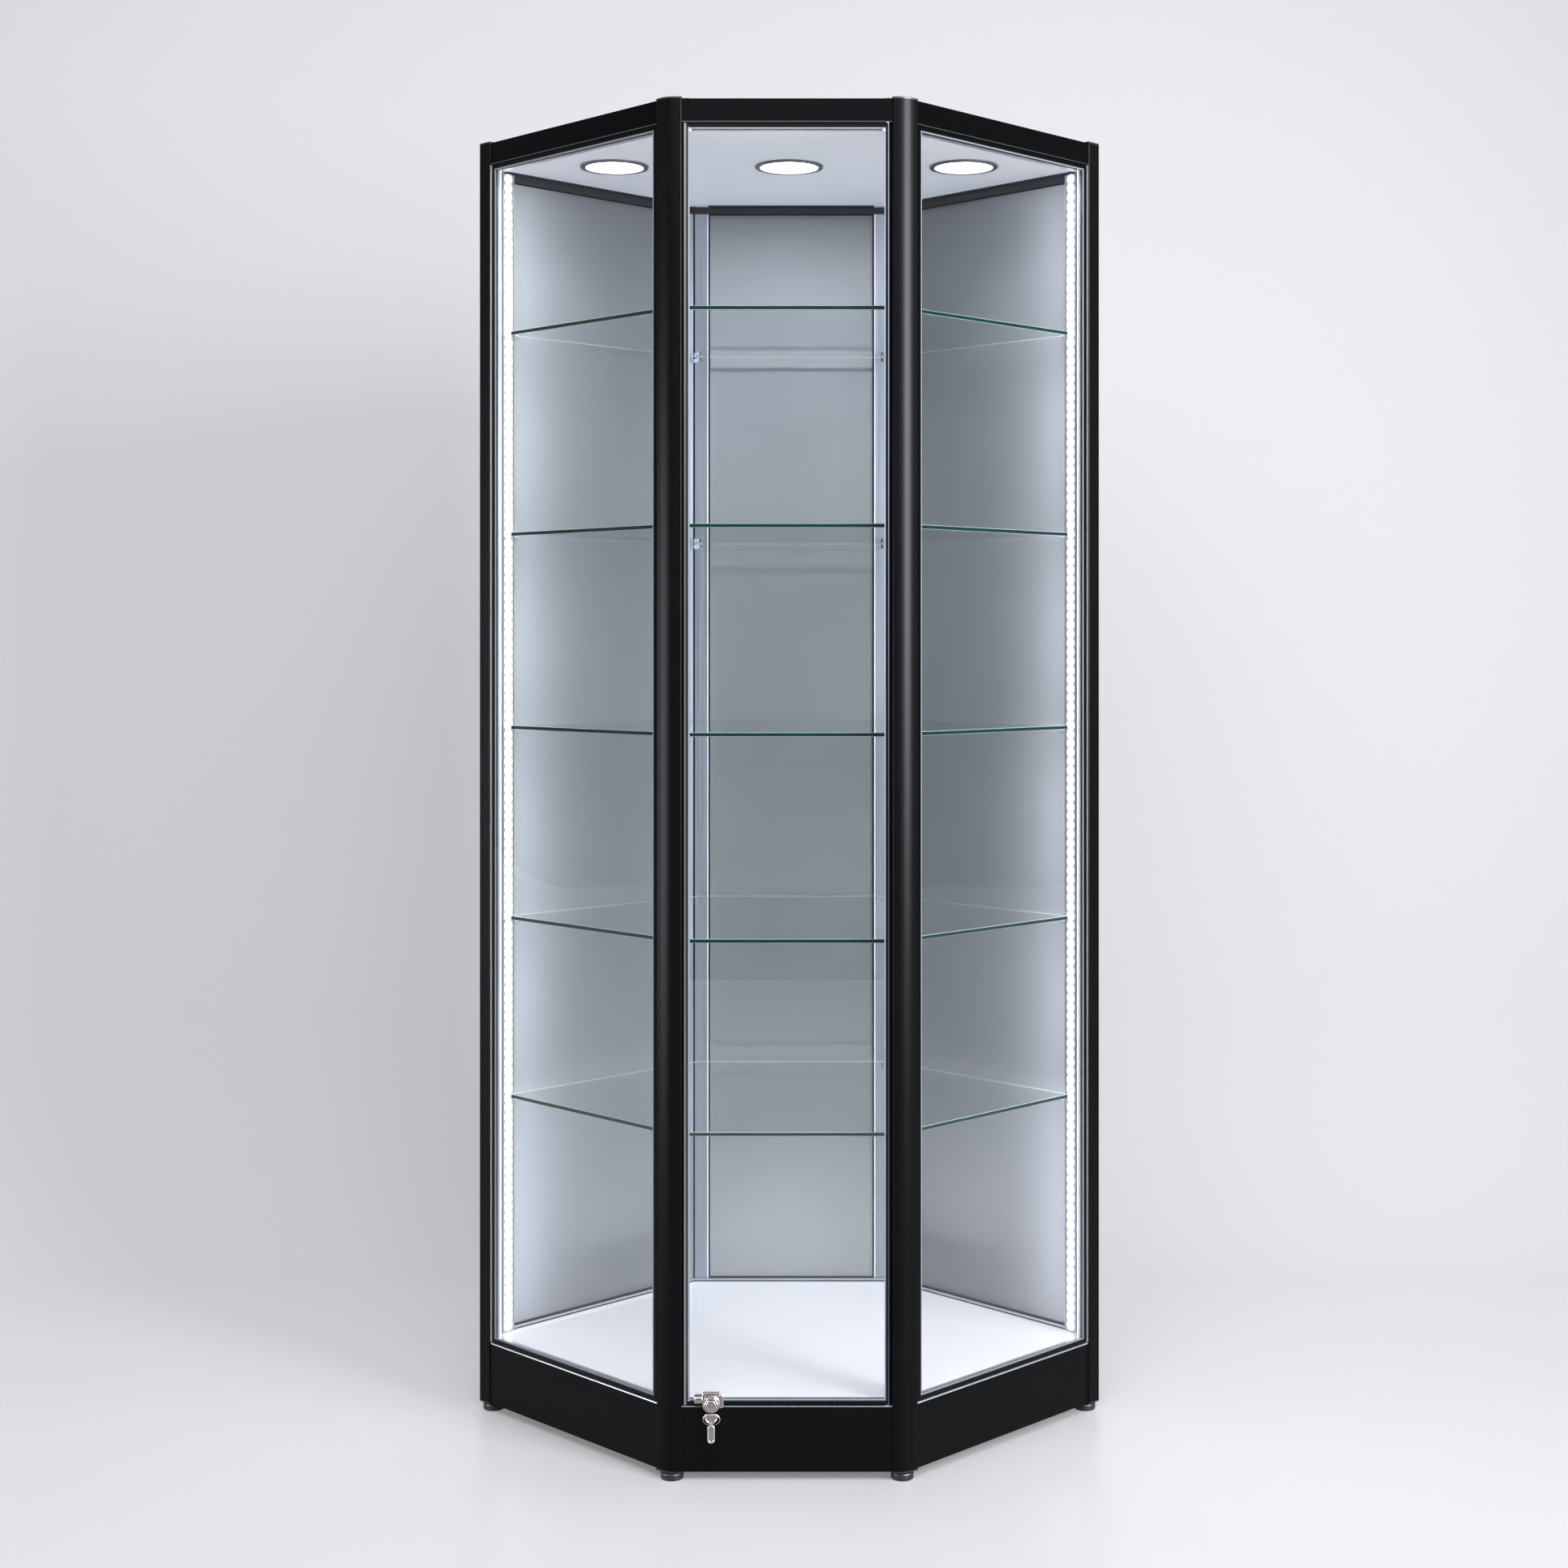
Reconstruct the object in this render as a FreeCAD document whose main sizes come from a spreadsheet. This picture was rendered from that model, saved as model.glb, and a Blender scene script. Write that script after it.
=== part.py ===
import FreeCAD, Part
import math
import os
import re

import Sketcher
from FreeCAD import Placement, Rotation, Vector

# Corner display cabinet: six aluminium posts on an elongated hexagon, glass in the two
# front diagonals, a glass door in the front and three solid panels behind.
# Origin: centre of the footprint on the floor. +X right, +Y to the back, +Z up.

# ---------------------------------------------------------------------------------------
# Driving dimensions, millimetres and degrees
# ---------------------------------------------------------------------------------------
SIZES = {
    # plan, measured on the outer faces of the posts
    "front_half": 172.5,        # centre line to the front corner
    "depth_half": 314.0,        # centre line to the front and back faces
    "total_height": 1980.0,
    # posts
    "post_depth": 18.0,         # outer face to inner face
    "rebate": 11.0,             # outer face to the flange that the panes close against
    "wide_leg": 22.0,           # outer leg of the 135 degree posts
    "wide_flange": 32.0,        # inner flange of the 135 degree posts
    "square_leg": 28.0,         # outer leg of the 90 degree posts
    "square_flange": 38.0,      # inner flange of the 90 degree posts
    "wide_round": 30.0,         # outer corner radius, 135 degree posts
    "square_round": 4.0,        # outer corner radius, 90 degree posts
    "lip_round": 2.0,           # edge radius of the outer legs
    "slot_width": 3.0,          # shelf slot in the inner corner
    "slot_depth": 6.0,
    "chamber_front": 4.5,       # hollow of the extrusion, from the outer face
    "chamber_back": 10.0,
    "chamber_margin": 3.0,      # wall left at the end of each leg
    "cap_height": 2.5,          # end caps, top and bottom
    "cap_rim": 0.6,             # edge radius of the end caps
    "over": 40.0,               # cutting tools run this far past what they cut
    # levelling feet
    "foot_gap": 1.0,            # pad to end plate
    "pad_height": 11.0,
    "pad_radius": 16.5,
    "pad_round": 3.0,           # shoulder of the pad
    "pad_heel": 2.4,            # lower rim of the pad
    "stud_radius": 4.0,
    "stud_length": 28.0,        # threaded bore above the end plate
    "stud_gap": 4.0,            # stud end to the bore's end
    "stud_play": 0.05,
    "boss_radius": 8.5,
    "boss_height": 26.0,
    "boss_play": 0.2,
    "wide_foot_inset": 19.0,    # post corner to foot axis
    "square_foot_inset": 24.0,
    # rails
    "proud": 2.0,               # posts stand this far in front of the rails
    "end_gap": 0.3,             # rail end to post
    "kick_bottom": 14.0,
    "kick_height": 77.7,
    "kick_wall": 3.0,
    "kick_lip": 14.0,
    "seam": 0.4,                # kick panel to rail
    "rail_bottom": 92.1,
    "sill_height": 16.0,        # face of the bottom rail
    "sill_round": 1.8,          # its upper front edge
    "head_height": 33.5,        # face of the top rail
    "head_round": 0.9,          # its lower front edge
    "flange_rise": 8.0,         # rail flange past the rail face
    "ledge_reach": 10.0,        # ledges under deck, ceiling and roof
    "ledge_thick": 2.0,
    "rail_wall": 2.5,
    "panel_gap": 0.3,           # deck, ceiling and roof edges to the posts
    "deck_thick": 6.0,
    "ceiling_thick": 4.0,
    "roof_thick": 4.0,
    "roof_sink": 0.5,
    # panes: door, fixed side glass, back panels
    "pane_gap": 3.0,            # leaf to post leg
    "pane_rise": 1.5,           # leaf to rail face
    "leaf_front": 2.5,          # leaf face behind the post face
    "leaf_thick": 8.0,
    "leaf_frame": 6.5,          # sight width of the edge frame
    "leaf_round": 3.9,          # hinge edge of the door
    "leaf_bead": 1.1,           # chamfer towards the glass
    "glass_thick": 5.0,
    "glass_bite": 1.5,          # glass held inside the frame
    "glass_play": 0.1,
    "gasket_width": 1.6,
    "gasket_thick": 1.0,
    "back_panel_thick": 4.0,
    "back_panel_gap": 0.8,
    "back_panel_seat": 0.3,
    # door pivots
    "pivot_radius": 2.0,
    "pivot_play": 0.05,
    "pivot_inset": 4.0,         # door edge to pivot axis
    "pivot_root": 9.0,          # pin length inside the rail
    "pivot_nose": 3.7,          # pin length inside the door
    "pivot_collar": 3.4,
    "pivot_float": 0.3,
    "pivot_end": 0.3,           # bore past the pin's ends
    # shelves
    "shelf_1": 1686.0,          # top faces, from the top shelf down
    "shelf_2": 1371.5,
    "shelf_3": 1069.5,
    "shelf_4": 771.5,
    "shelf_5": 492.5,
    "shelf_thick": 6.0,
    "shelf_inset": 36.0,        # shelf edge to outer face
    "shelf_blunt": 3.0,         # corner cut off where a clip holds it
    "arris": 0.5,               # ground edges of the glass
    "clip_height": 7.0,
    "clip_under": 12.0,         # clip arm under the glass
    "clip_seat": 0.2,
    "clip_pad": 5.0,
    "clip_pad_thick": 1.6,
    "tongue_play": 0.2,
    # light strips on the side posts
    "strip_start": 31.5,        # side corner to the channel, along the back panel
    "strip_width": 22.0,
    "strip_height": 6.0,
    "strip_wall": 1.4,
    "strip_seat": 0.2,
    "tape_thick": 3.3,
    "strip_end": 1.0,           # channel end to deck and ceiling
    # angle beads round the back panels
    "trim_thick": 2.2,
    "deck_trim": 5.5,           # height on the deck
    "ceiling_trim": 11.0,       # height under the ceiling
    # downlights
    "lamp_pitch": 269.0,
    "lamp_front": 33.0,         # lamp row in front of the centre line
    "lamp_hole": 46.5,
    "lamp_body": 45.5,
    "lamp_body_height": 22.0,
    "bezel_radius": 53.0,
    "bezel_bore": 45.0,
    "bezel_thick": 3.0,
    "lens_radius": 44.7,
    "lens_thick": 2.0,
    "driver_length": 160.0,
    "driver_width": 44.0,
    "driver_height": 22.0,
    "driver_back": 110.0,
    "driver_gap": 0.3,
    # lock and key
    "lock_inset": 39.2,         # door edge to lock axis
    "lock_axis": 112.3,
    "lock_projection": 8.0,     # lock and cable gland in front of the posts
    "lock_width": 24.6,
    "lock_top": 128.0,
    "lock_foot": 2.2,           # lock plate below the door's lower edge to the rail top
    "plate_front": 1.0,
    "lip_height": 4.2,          # raised bar along the plate's top
    "lip_thick": 1.2,
    "lip_end": 1.8,
    "plate_seat": 0.2,
    "collar_radius": 12.3,
    "collar_thick": 3.0,
    "nut_across": 18.0,
    "nut_thick": 1.5,
    "plug_across": 12.8,
    "plug_stem": 4.0,
    "plug_play": 0.05,
    "plug_gap": 0.3,
    "spindle": 1.6,
    "spindle_play": 0.3,
    "ear_radius": 6.8,
    "ear_reach": 11.4,
    "ear_rise": 6.5,            # ear axis above the lock axis
    "lug_reach": 5.0,
    "lug_height": 18.6,
    "lug_drop": 6.2,            # lug below the lock axis
    "lug_thick": 2.0,
    "lug_round": 3.6,
    "clamp_rise": 6.2,          # clamp plate behind the glass
    "clamp_drop": 3.5,          # its top below the front plate's
    "clamp_thick": 2.0,
    "stud_clamp": 2.2,
    "cam_length": 13.0,
    "cam_width": 5.6,
    "cam_thick": 1.6,
    "cam_gap": 0.4,
    "pocket_play": 1.2,
    "pocket_drop": 15.0,        # pocket for the cam below the lock axis
    "key_shift": 0.3,           # ring eye right of the lock axis
    "eye_drop": 2.0,
    "eye_thick": 1.6,
    "eye_bore": 1.5,
    "eye_wall": 0.9,
    "wire": 0.8,
    "ring_depth": 1.2,
    "ring_wide": 12.0,          # half width of the ring
    "ring_tall": 8.2,           # half height of the ring
    "key_gap": 0.6,
    "key_thick": 2.2,
    "bow_wide": 8.6,            # half width of the bow
    "bow_tall": 9.1,            # half height of the bow's oval
    "bow_flat": 4.9,            # flat top above the oval's centre
    "bow_rise": 4.2,            # oval's centre above the ring's centre
    "bow_rim": 1.6,
    "key_recess": 0.7,
    "neck_width": 5.0,
    "blade_drop": 2.0,          # blade's top below the bow
    "blade_width": 10.6,
    "blade_length": 25.4,
    "blade_rim": 1.9,
    "blade_round": 4.9,
    # cable gland in the back kick panel
    "gland_side": 90.0,
    "gland_height": 52.0,
    "gland_radius": 10.0,
    "gland_bore": 4.0,
    "gland_neck": 7.0,          # radius of the neck
    "gland_root": 6.0,          # length of the neck
    "gland_flange": 4.0,
    "gland_play": 0.2,
}

# Names for what follows from the driving dimensions
DERIVED = {
    "corner_x": "front_half + depth_half",
    "diagonal": "depth_half * sqrt(2)",
    "post_top": "total_height - cap_height",
    "plate_bottom": "pad_height + foot_gap",
    "post_bottom": "plate_bottom + cap_height",
    "sill_top": "rail_bottom + sill_height",
    "head_bottom": "post_top - head_height",
    "deck_top": "sill_top + flange_rise",
    "deck_bottom": "deck_top - deck_thick",
    "room_top": "head_bottom - flange_rise",
    "ceiling_bottom": "room_top + ledge_thick",
    "ceiling_top": "ceiling_bottom + ceiling_thick",
    "roof_top": "post_top - roof_sink",
    "roof_bottom": "roof_top - roof_thick",
    "leaf_bottom": "sill_top + pane_rise",
    "leaf_top": "head_bottom - pane_rise",
    "leaf_middle": "leaf_front + leaf_thick / 2",
    "glass_front": "leaf_middle - glass_thick / 2",
    "door_half": "front_half - wide_leg - pane_gap",
    "panel_inset": "post_depth + panel_gap",
    "room_inset": "post_depth + ledge_reach",
    "pivot_x": "door_half - pivot_inset",
    "eye_height": "lock_axis - collar_radius - eye_drop",
    "eye_half": "eye_bore + eye_wall",
    "key_front": "ring_depth + eye_bore + eye_wall + key_gap",
    "stud_height": "lock_top - clamp_drop - clamp_rise / 2",
    "bow_height": "eye_height - ring_tall + bow_rise",
    "blade_top": "bow_height - bow_tall - blade_drop",
    "trim_inset": "post_depth + strip_seat",
    "trim_end": "(strip_start + strip_width - post_depth) / sqrt(2) + panel_gap",
    "lock_x": "lock_inset - door_half",
    "key_x": "lock_x + key_shift",
}

SHELVES = ("shelf_1", "shelf_2", "shelf_3", "shelf_4", "shelf_5")

# The six sides: turn about Z, plan centre of the outer line, and which end meets a side post
SIDES = {
    "front": (0, "0", "0 - depth_half", None),
    "right": (45, "(front_half + corner_x) / 2", "0 - depth_half / 2", "end"),
    "back_right": (135, "(front_half + corner_x) / 2", "depth_half / 2", "start"),
    "back": (180, "0", "depth_half", None),
    "back_left": (225, "0 - (front_half + corner_x) / 2", "depth_half / 2", "end"),
    "left": (315, "0 - (front_half + corner_x) / 2", "0 - depth_half / 2", "start"),
}

# The six corners: turn of the outward bisector, plan position and post kind
CORNERS = {
    "front_left": (247.5, "0 - front_half", "0 - depth_half", "wide"),
    "front_right": (292.5, "front_half", "0 - depth_half", "wide"),
    "side_right": (0, "corner_x", "0", "square"),
    "back_right": (67.5, "front_half", "depth_half", "wide"),
    "back_left": (112.5, "0 - front_half", "depth_half", "wide"),
    "side_left": (180, "0 - corner_x", "0", "square"),
}
HALF_ANGLE = {"wide": 67.5, "square": 45}
LEG = {"wide": "wide_leg", "square": "square_leg"}
FLANGE = {"wide": "wide_flange", "square": "square_flange"}
ROUND = {"wide": "wide_round", "square": "square_round"}
FOOT_INSET = {"wide": "wide_foot_inset", "square": "square_foot_inset"}

NEAR = 0.01  # how near a measured place must be to count as the one meant

doc = FreeCAD.newDocument("CornerCabinet")
sheet = doc.addObject("Spreadsheet::Sheet", "Sizes")
nodes = []


# ---------------------------------------------------------------------------------------
# Sheet and expressions
# ---------------------------------------------------------------------------------------
def fill_sheet():
    for row, (name, value) in enumerate(SIZES.items(), start=1):
        sheet.set(f"A{row}", name)
        sheet.set(f"B{row}", str(value))
        sheet.setAlias(f"B{row}", name)
    doc.recompute()


def expand(text):
    """Write derived names out and point every size at its cell."""
    def swap(match):
        word = match.group(0)
        if word in DERIVED:
            return "(" + expand(DERIVED[word]) + ")"
        if word in SIZES:
            return "Sizes." + word
        return word
    return re.sub(r"[A-Za-z_][A-Za-z_0-9]*", swap, str(text))


def number(text):
    return float(sheet.evalExpression(expand(text)))


def bind(item, **properties):
    for name, text in properties.items():
        item.setExpression(name, expand(text))


def put(item, x="0", y="0", z="0", turn=0, axis=Vector(0, 0, 1)):
    """Place an object, its position bound to the sheet."""
    item.Placement = Placement(Vector(number(x), number(y), number(z)), Rotation(axis, turn))
    for letter, text in zip("xyz", (x, y, z)):
        item.setExpression(f"Placement.Base.{letter}", expand(text))
    return item


def put_on_side(item, side, along="0", inward="0", up="0"):
    """Place in a side's own frame: X along the side, Y into the cabinet."""
    turn, middle_x, middle_y, _ = SIDES[side]
    x = f"{middle_x} + ({along}) * cos({turn}) - ({inward}) * sin({turn})"
    y = f"{middle_y} + ({along}) * sin({turn}) + ({inward}) * cos({turn})"
    return put(item, x, y, up, turn)


def put_on_corner(item, corner, inward="0", up="0"):
    """Place on a corner's bisector: the item's X points out of the cabinet."""
    turn, corner_x, corner_y, _ = CORNERS[corner]
    x = f"{corner_x} - ({inward}) * cos({turn})"
    y = f"{corner_y} - ({inward}) * sin({turn})"
    return put(item, x, y, up, turn)


def node(item, label):
    item.Label = label
    nodes.append(item)
    return item


# ---------------------------------------------------------------------------------------
# Solids
# ---------------------------------------------------------------------------------------
def box(length, width, height):
    item = doc.addObject("Part::Box", "Box")
    bind(item, Length=length, Width=width, Height=height)
    return item


def cylinder(radius, height):
    item = doc.addObject("Part::Cylinder", "Cylinder")
    bind(item, Radius=radius, Height=height)
    return item


def hexagon(across, height):
    """Hexagonal prism given its width across flats."""
    item = doc.addObject("Part::Prism", "Hexagon")
    item.Polygon = 6
    bind(item, Circumradius=f"({across}) / sqrt(3)", Height=height)
    return item


def front_facing(item, x, depth, z):
    """Turn a Z-built solid to run back from a depth behind the front face."""
    return put(item, x, f"0 - depth_half + ({depth})", z, -90, Vector(1, 0, 0))


def cut(base, *tools):
    for tool in tools:
        item = doc.addObject("Part::Cut", "Cut")
        item.Base, item.Tool = base, tool
        base = item
    return base


def fuse(*parts):
    item = doc.addObject("Part::MultiFuse", "Fuse")
    item.Shapes = list(parts)
    item.Refine = True
    return item


def group(*parts):
    item = doc.addObject("Part::Compound", "Group")
    item.Links = list(parts)
    return item


def round_edges(item, radius, wanted, kind="Part::Fillet"):
    """Fillet or chamfer the edges whose middle the test accepts."""
    doc.recompute()
    finished = doc.addObject(kind, "Edges")
    finished.Base = item
    size = number(radius)
    edges = []
    for i, edge in enumerate(item.Shape.Edges, start=1):
        if wanted(edge.valueAt((edge.FirstParameter + edge.LastParameter) / 2)):
            edges.append((i, size, size))
    finished.Edges = edges
    return finished


# ---------------------------------------------------------------------------------------
# Sketched bodies
# ---------------------------------------------------------------------------------------
def origin_plane(body, role):
    return next(item for item in body.Origin.OriginFeatures if item.Role == role)


def draw_loop(sketch, points):
    """Closed polygon, every corner held to the sketch axes by expressions."""
    first = sketch.GeometryCount
    places = [Vector(number(x), number(y), 0) for x, y in points]
    for here, there in zip(places, places[1:] + places[:1]):
        sketch.addGeometry(Part.LineSegment(here, there), False)
    count = len(points)
    for i in range(count):
        sketch.addConstraint(Sketcher.Constraint("Coincident", first + (i - 1) % count, 2,
                                                 first + i, 1))
    for i, (x, y) in enumerate(points):
        for kind, axis, text in (("DistanceX", -2, x), ("DistanceY", -1, y)):
            if abs(number(text)) < 1e-9:
                sketch.addConstraint(Sketcher.Constraint("PointOnObject", first + i, 1, axis))
                continue
            held = sketch.addConstraint(
                Sketcher.Constraint(kind, -1, 1, first + i, 1, number(text)))
            sketch.setExpression(f"Constraints[{held}]", expand(text))


def extrusion(plane, length, *loops):
    """PartDesign body: closed loops on one of its origin planes, padded to a length."""
    body = doc.addObject("PartDesign::Body", "Body")
    sketch = body.newObject("Sketcher::SketchObject", "Section")
    sketch.AttachmentSupport = (origin_plane(body, plane), [""])
    sketch.MapMode = "FlatFace"
    for loop in loops:
        draw_loop(sketch, loop)
    pad = body.newObject("PartDesign::Pad", "Pad")
    pad.Profile = sketch
    bind(pad, Length=length)
    sketch.Visibility = False
    doc.recompute()
    return body


def edge_names(shape, wanted):
    names = []
    for i, edge in enumerate(shape.Edges, start=1):
        if wanted(edge.valueAt((edge.FirstParameter + edge.LastParameter) / 2)):
            names.append(f"Edge{i}")
    return names


def soften(body, radius, wanted, kind="PartDesign::Fillet"):
    """Fillet or chamfer the chosen edges of a body's tip."""
    base = body.Tip
    feature = body.newObject(kind, "Edge")
    feature.Base = (base, edge_names(base.Shape, wanted))
    bind(feature, **{"Radius" if kind.endswith("Fillet") else "Size": radius})
    doc.recompute()
    return body


# ---------------------------------------------------------------------------------------
# Posts, end caps and feet
# ---------------------------------------------------------------------------------------
def on_leg(kind, leg, depth, mirror=1):
    """Point at a distance along a leg and a depth below its face, corner at the origin."""
    angle = HALF_ANGLE[kind]
    x = f"0 - ({leg}) * cos({angle}) - ({depth}) * sin({angle})"
    y = f"{mirror} * (({leg}) * sin({angle}) - ({depth}) * cos({angle}))"
    return x, y


def on_bisector(kind, depth, shift="0"):
    return f"0 - ({depth}) / sin({HALF_ANGLE[kind]}) + ({shift})", "0"


def both_legs(kind, pairs):
    """Points down one leg and back up the other."""
    near = [on_leg(kind, leg, depth) for leg, depth in pairs]
    far = [on_leg(kind, leg, depth, -1) for leg, depth in reversed(pairs)]
    return near, far


def slot_points(kind):
    """Mouth and floor of the shelf slot that opens at the inner corner."""
    angle = HALF_ANGLE[kind]
    mouth = f"0 - post_depth / sin({angle}) - slot_width / 2 / tan({angle})"
    floor = f"0 - post_depth / sin({angle}) + slot_depth"
    near = [(mouth, "slot_width / 2"), (floor, "slot_width / 2")]
    far = [(floor, "0 - slot_width / 2"), (mouth, "0 - slot_width / 2")]
    return near + far


def leg_and_flange(kind):
    leg, flange = LEG[kind], FLANGE[kind]
    return both_legs(kind, [(leg, "0"), (leg, "rebate"), (flange, "rebate"),
                            (flange, "post_depth")])


def post_outline(kind):
    near, far = leg_and_flange(kind)
    return [("0", "0")] + near + slot_points(kind) + far


def post_chamber(kind):
    leg = f"{LEG[kind]} - chamber_margin"
    outer = [on_leg(kind, leg, "chamber_front"), on_bisector(kind, "chamber_front"),
             on_leg(kind, leg, "chamber_front", -1)]
    inner = [on_leg(kind, leg, "chamber_back", -1), on_bisector(kind, "chamber_back"),
             on_leg(kind, leg, "chamber_back")]
    return outer + inner


def cap_outline(kind):
    """The post's outline without its slot."""
    near, far = leg_and_flange(kind)
    return [("0", "0")] + near + [on_bisector(kind, "post_depth")] + far


def is_corner(point):
    return math.hypot(point.x, point.y) < NEAR


def is_lip(kind):
    x, y = (number(text) for text in on_leg(kind, LEG[kind], "0"))
    return lambda point: math.hypot(point.x - x, abs(point.y) - y) < NEAR


def make_post(corner):
    kind = CORNERS[corner][3]
    body = extrusion("XY_Plane", "post_top - post_bottom", post_outline(kind), post_chamber(kind))
    soften(body, ROUND[kind], is_corner)
    soften(body, "lip_round", is_lip(kind))
    put_on_corner(body, corner, "0", "post_bottom")
    socket = cylinder("boss_radius + boss_play", "boss_height + boss_play")
    put_on_corner(socket, corner, FOOT_INSET[kind], "post_bottom")
    return node(cut(body, socket), f"post_{corner}")


def make_cap(corner, bottom):
    kind = CORNERS[corner][3]
    body = extrusion("XY_Plane", "cap_height", cap_outline(kind))
    soften(body, ROUND[kind], is_corner)
    rim = number("cap_height") if bottom == "post_top" else 0.0
    angle = math.radians(HALF_ANGLE[kind])
    outer = number(LEG[kind]) * math.sin(angle) + NEAR
    reach = -number(LEG[kind]) * math.cos(angle) - NEAR

    def on_rim(point):
        return abs(point.z - rim) < NEAR and point.x > reach and abs(point.y) < outer
    soften(body, "cap_rim", on_rim)
    return put_on_corner(body, corner, "0", bottom)


def make_foot_plate(corner):
    """End plate under the post with the threaded boss for the foot."""
    kind = CORNERS[corner][3]
    plate = make_cap(corner, "plate_bottom")
    boss = cylinder("boss_radius", "boss_height + cap_height")
    put_on_corner(boss, corner, FOOT_INSET[kind], "plate_bottom")
    bore = cylinder("stud_radius + stud_play", "stud_length + cap_height")
    put_on_corner(bore, corner, FOOT_INSET[kind], "plate_bottom")
    return cut(fuse(plate, boss), bore)


def make_foot(corner):
    """Round pad with soft rims on a threaded stud."""
    inset = FOOT_INSET[CORNERS[corner][3]]
    shoulder = number("pad_height") - NEAR
    pad = round_edges(cylinder("pad_radius", "pad_height"), "pad_round", lambda p: p.z > shoulder)
    pad = round_edges(pad, "pad_heel", lambda p: p.z < NEAR)
    put_on_corner(pad, corner, inset)
    stud = cylinder("stud_radius", "foot_gap + stud_length - stud_gap")
    put_on_corner(stud, corner, inset, "pad_height")
    return node(fuse(pad, stud), f"foot_{corner}")


# ---------------------------------------------------------------------------------------
# Rails and kick panels
# ---------------------------------------------------------------------------------------
def side_ends(side, part):
    """Post legs or flanges at the two ends of a side."""
    square_end = SIDES[side][3]
    start = "square" if square_end == "start" else "wide"
    end = "square" if square_end == "end" else "wide"
    return part[start], part[end]


def side_length(side):
    return "front_half * 2" if side in ("front", "back") else "diagonal"


def side_bar(side, *loops):
    """Section in (depth, height), run along a side between the post legs."""
    start, end = side_ends(side, LEG)
    length = f"{side_length(side)} - {start} - {end} - 2 * end_gap"
    body = extrusion("YZ_Plane", length, *loops)
    put_on_side(body, side, f"0 - {side_length(side)} / 2 + {start} + end_gap")
    return body


def notched(body, side):
    """Cut the bar back where the post flanges stand behind the rebate."""
    blocks = []
    for end in (0, 1):
        leg = side_ends(side, LEG)[end]
        flange = side_ends(side, FLANGE)[end]
        length = f"{flange} - {leg} + end_gap + over"
        block = box(length, "post_depth + over", "total_height")
        along = f"{side_length(side)} / 2 - {flange} - end_gap"
        if end == 0:
            along = f"0 - ({along}) - ({length})"
        put_on_side(block, side, along, "rebate - end_gap")
        blocks.append(block)
    return cut(body, *blocks)


def sill_section():
    return [("proud", "rail_bottom"), ("room_inset", "rail_bottom"),
            ("room_inset", "deck_bottom"), ("post_depth", "deck_bottom"),
            ("post_depth", "deck_top"), ("rebate", "deck_top"),
            ("rebate", "sill_top"), ("proud", "sill_top")]


def sill_chamber():
    low, high = "rail_bottom + rail_wall", "sill_top - rail_wall"
    return [("proud + rail_wall", low), ("room_inset - rail_wall", low),
            ("room_inset - rail_wall", high), ("proud + rail_wall", high)]


def head_section():
    return [("proud", "head_bottom"), ("rebate", "head_bottom"), ("rebate", "room_top"),
            ("room_inset", "room_top"), ("room_inset", "ceiling_bottom"),
            ("post_depth", "ceiling_bottom"), ("post_depth", "roof_bottom - ledge_thick"),
            ("room_inset", "roof_bottom - ledge_thick"), ("room_inset", "roof_bottom"),
            ("post_depth", "roof_bottom"), ("post_depth", "post_top"), ("proud", "post_top")]


def head_chamber():
    low, high = "head_bottom + rail_wall", "post_top - rail_wall"
    return [("proud + rail_wall", low), ("post_depth - rail_wall", low),
            ("post_depth - rail_wall", high), ("proud + rail_wall", high)]


def kick_section():
    top = "kick_bottom + kick_height"
    floor, roof = "kick_bottom + kick_wall", f"{top} - kick_wall"
    return [("proud", "kick_bottom"), ("kick_lip", "kick_bottom"), ("kick_lip", floor),
            ("proud + kick_wall", floor), ("proud + kick_wall", roof), ("kick_lip", roof),
            ("kick_lip", top), ("proud", top)]


def on_face_edge(height):
    depth, level = number("proud"), number(height)
    return lambda point: abs(point.y - depth) < NEAR and abs(point.z - level) < NEAR


def make_sill(side):
    body = side_bar(side, sill_section(), sill_chamber())
    soften(body, "sill_round", on_face_edge("sill_top"))
    return notched(body, side)


def make_head(side):
    body = side_bar(side, head_section(), head_chamber())
    soften(body, "head_round", on_face_edge("head_bottom"))
    return notched(body, side)


def make_kick(side):
    body = side_bar(side, kick_section())
    soften(body, "seam", on_face_edge("kick_bottom + kick_height"), "PartDesign::Chamfer")
    return notched(body, side)


# ---------------------------------------------------------------------------------------
# Framed panes: door leaf and fixed side glass
# ---------------------------------------------------------------------------------------
def pane_span(side):
    """Start and width of a leaf between the post legs of a side."""
    start, end = side_ends(side, LEG)
    begin = f"0 - {side_length(side)} / 2 + {start} + pane_gap"
    width = f"{side_length(side)} - {start} - {end} - 2 * pane_gap"
    return begin, width


def leaf_block(side, margin, front, thick):
    """Block as large as the leaf less a margin all round."""
    begin, width = pane_span(side)
    block = box(f"{width} - 2 * ({margin})", thick, f"leaf_top - leaf_bottom - 2 * ({margin})")
    return put_on_side(block, side, f"{begin} + ({margin})", front, f"leaf_bottom + {margin}")


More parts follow.
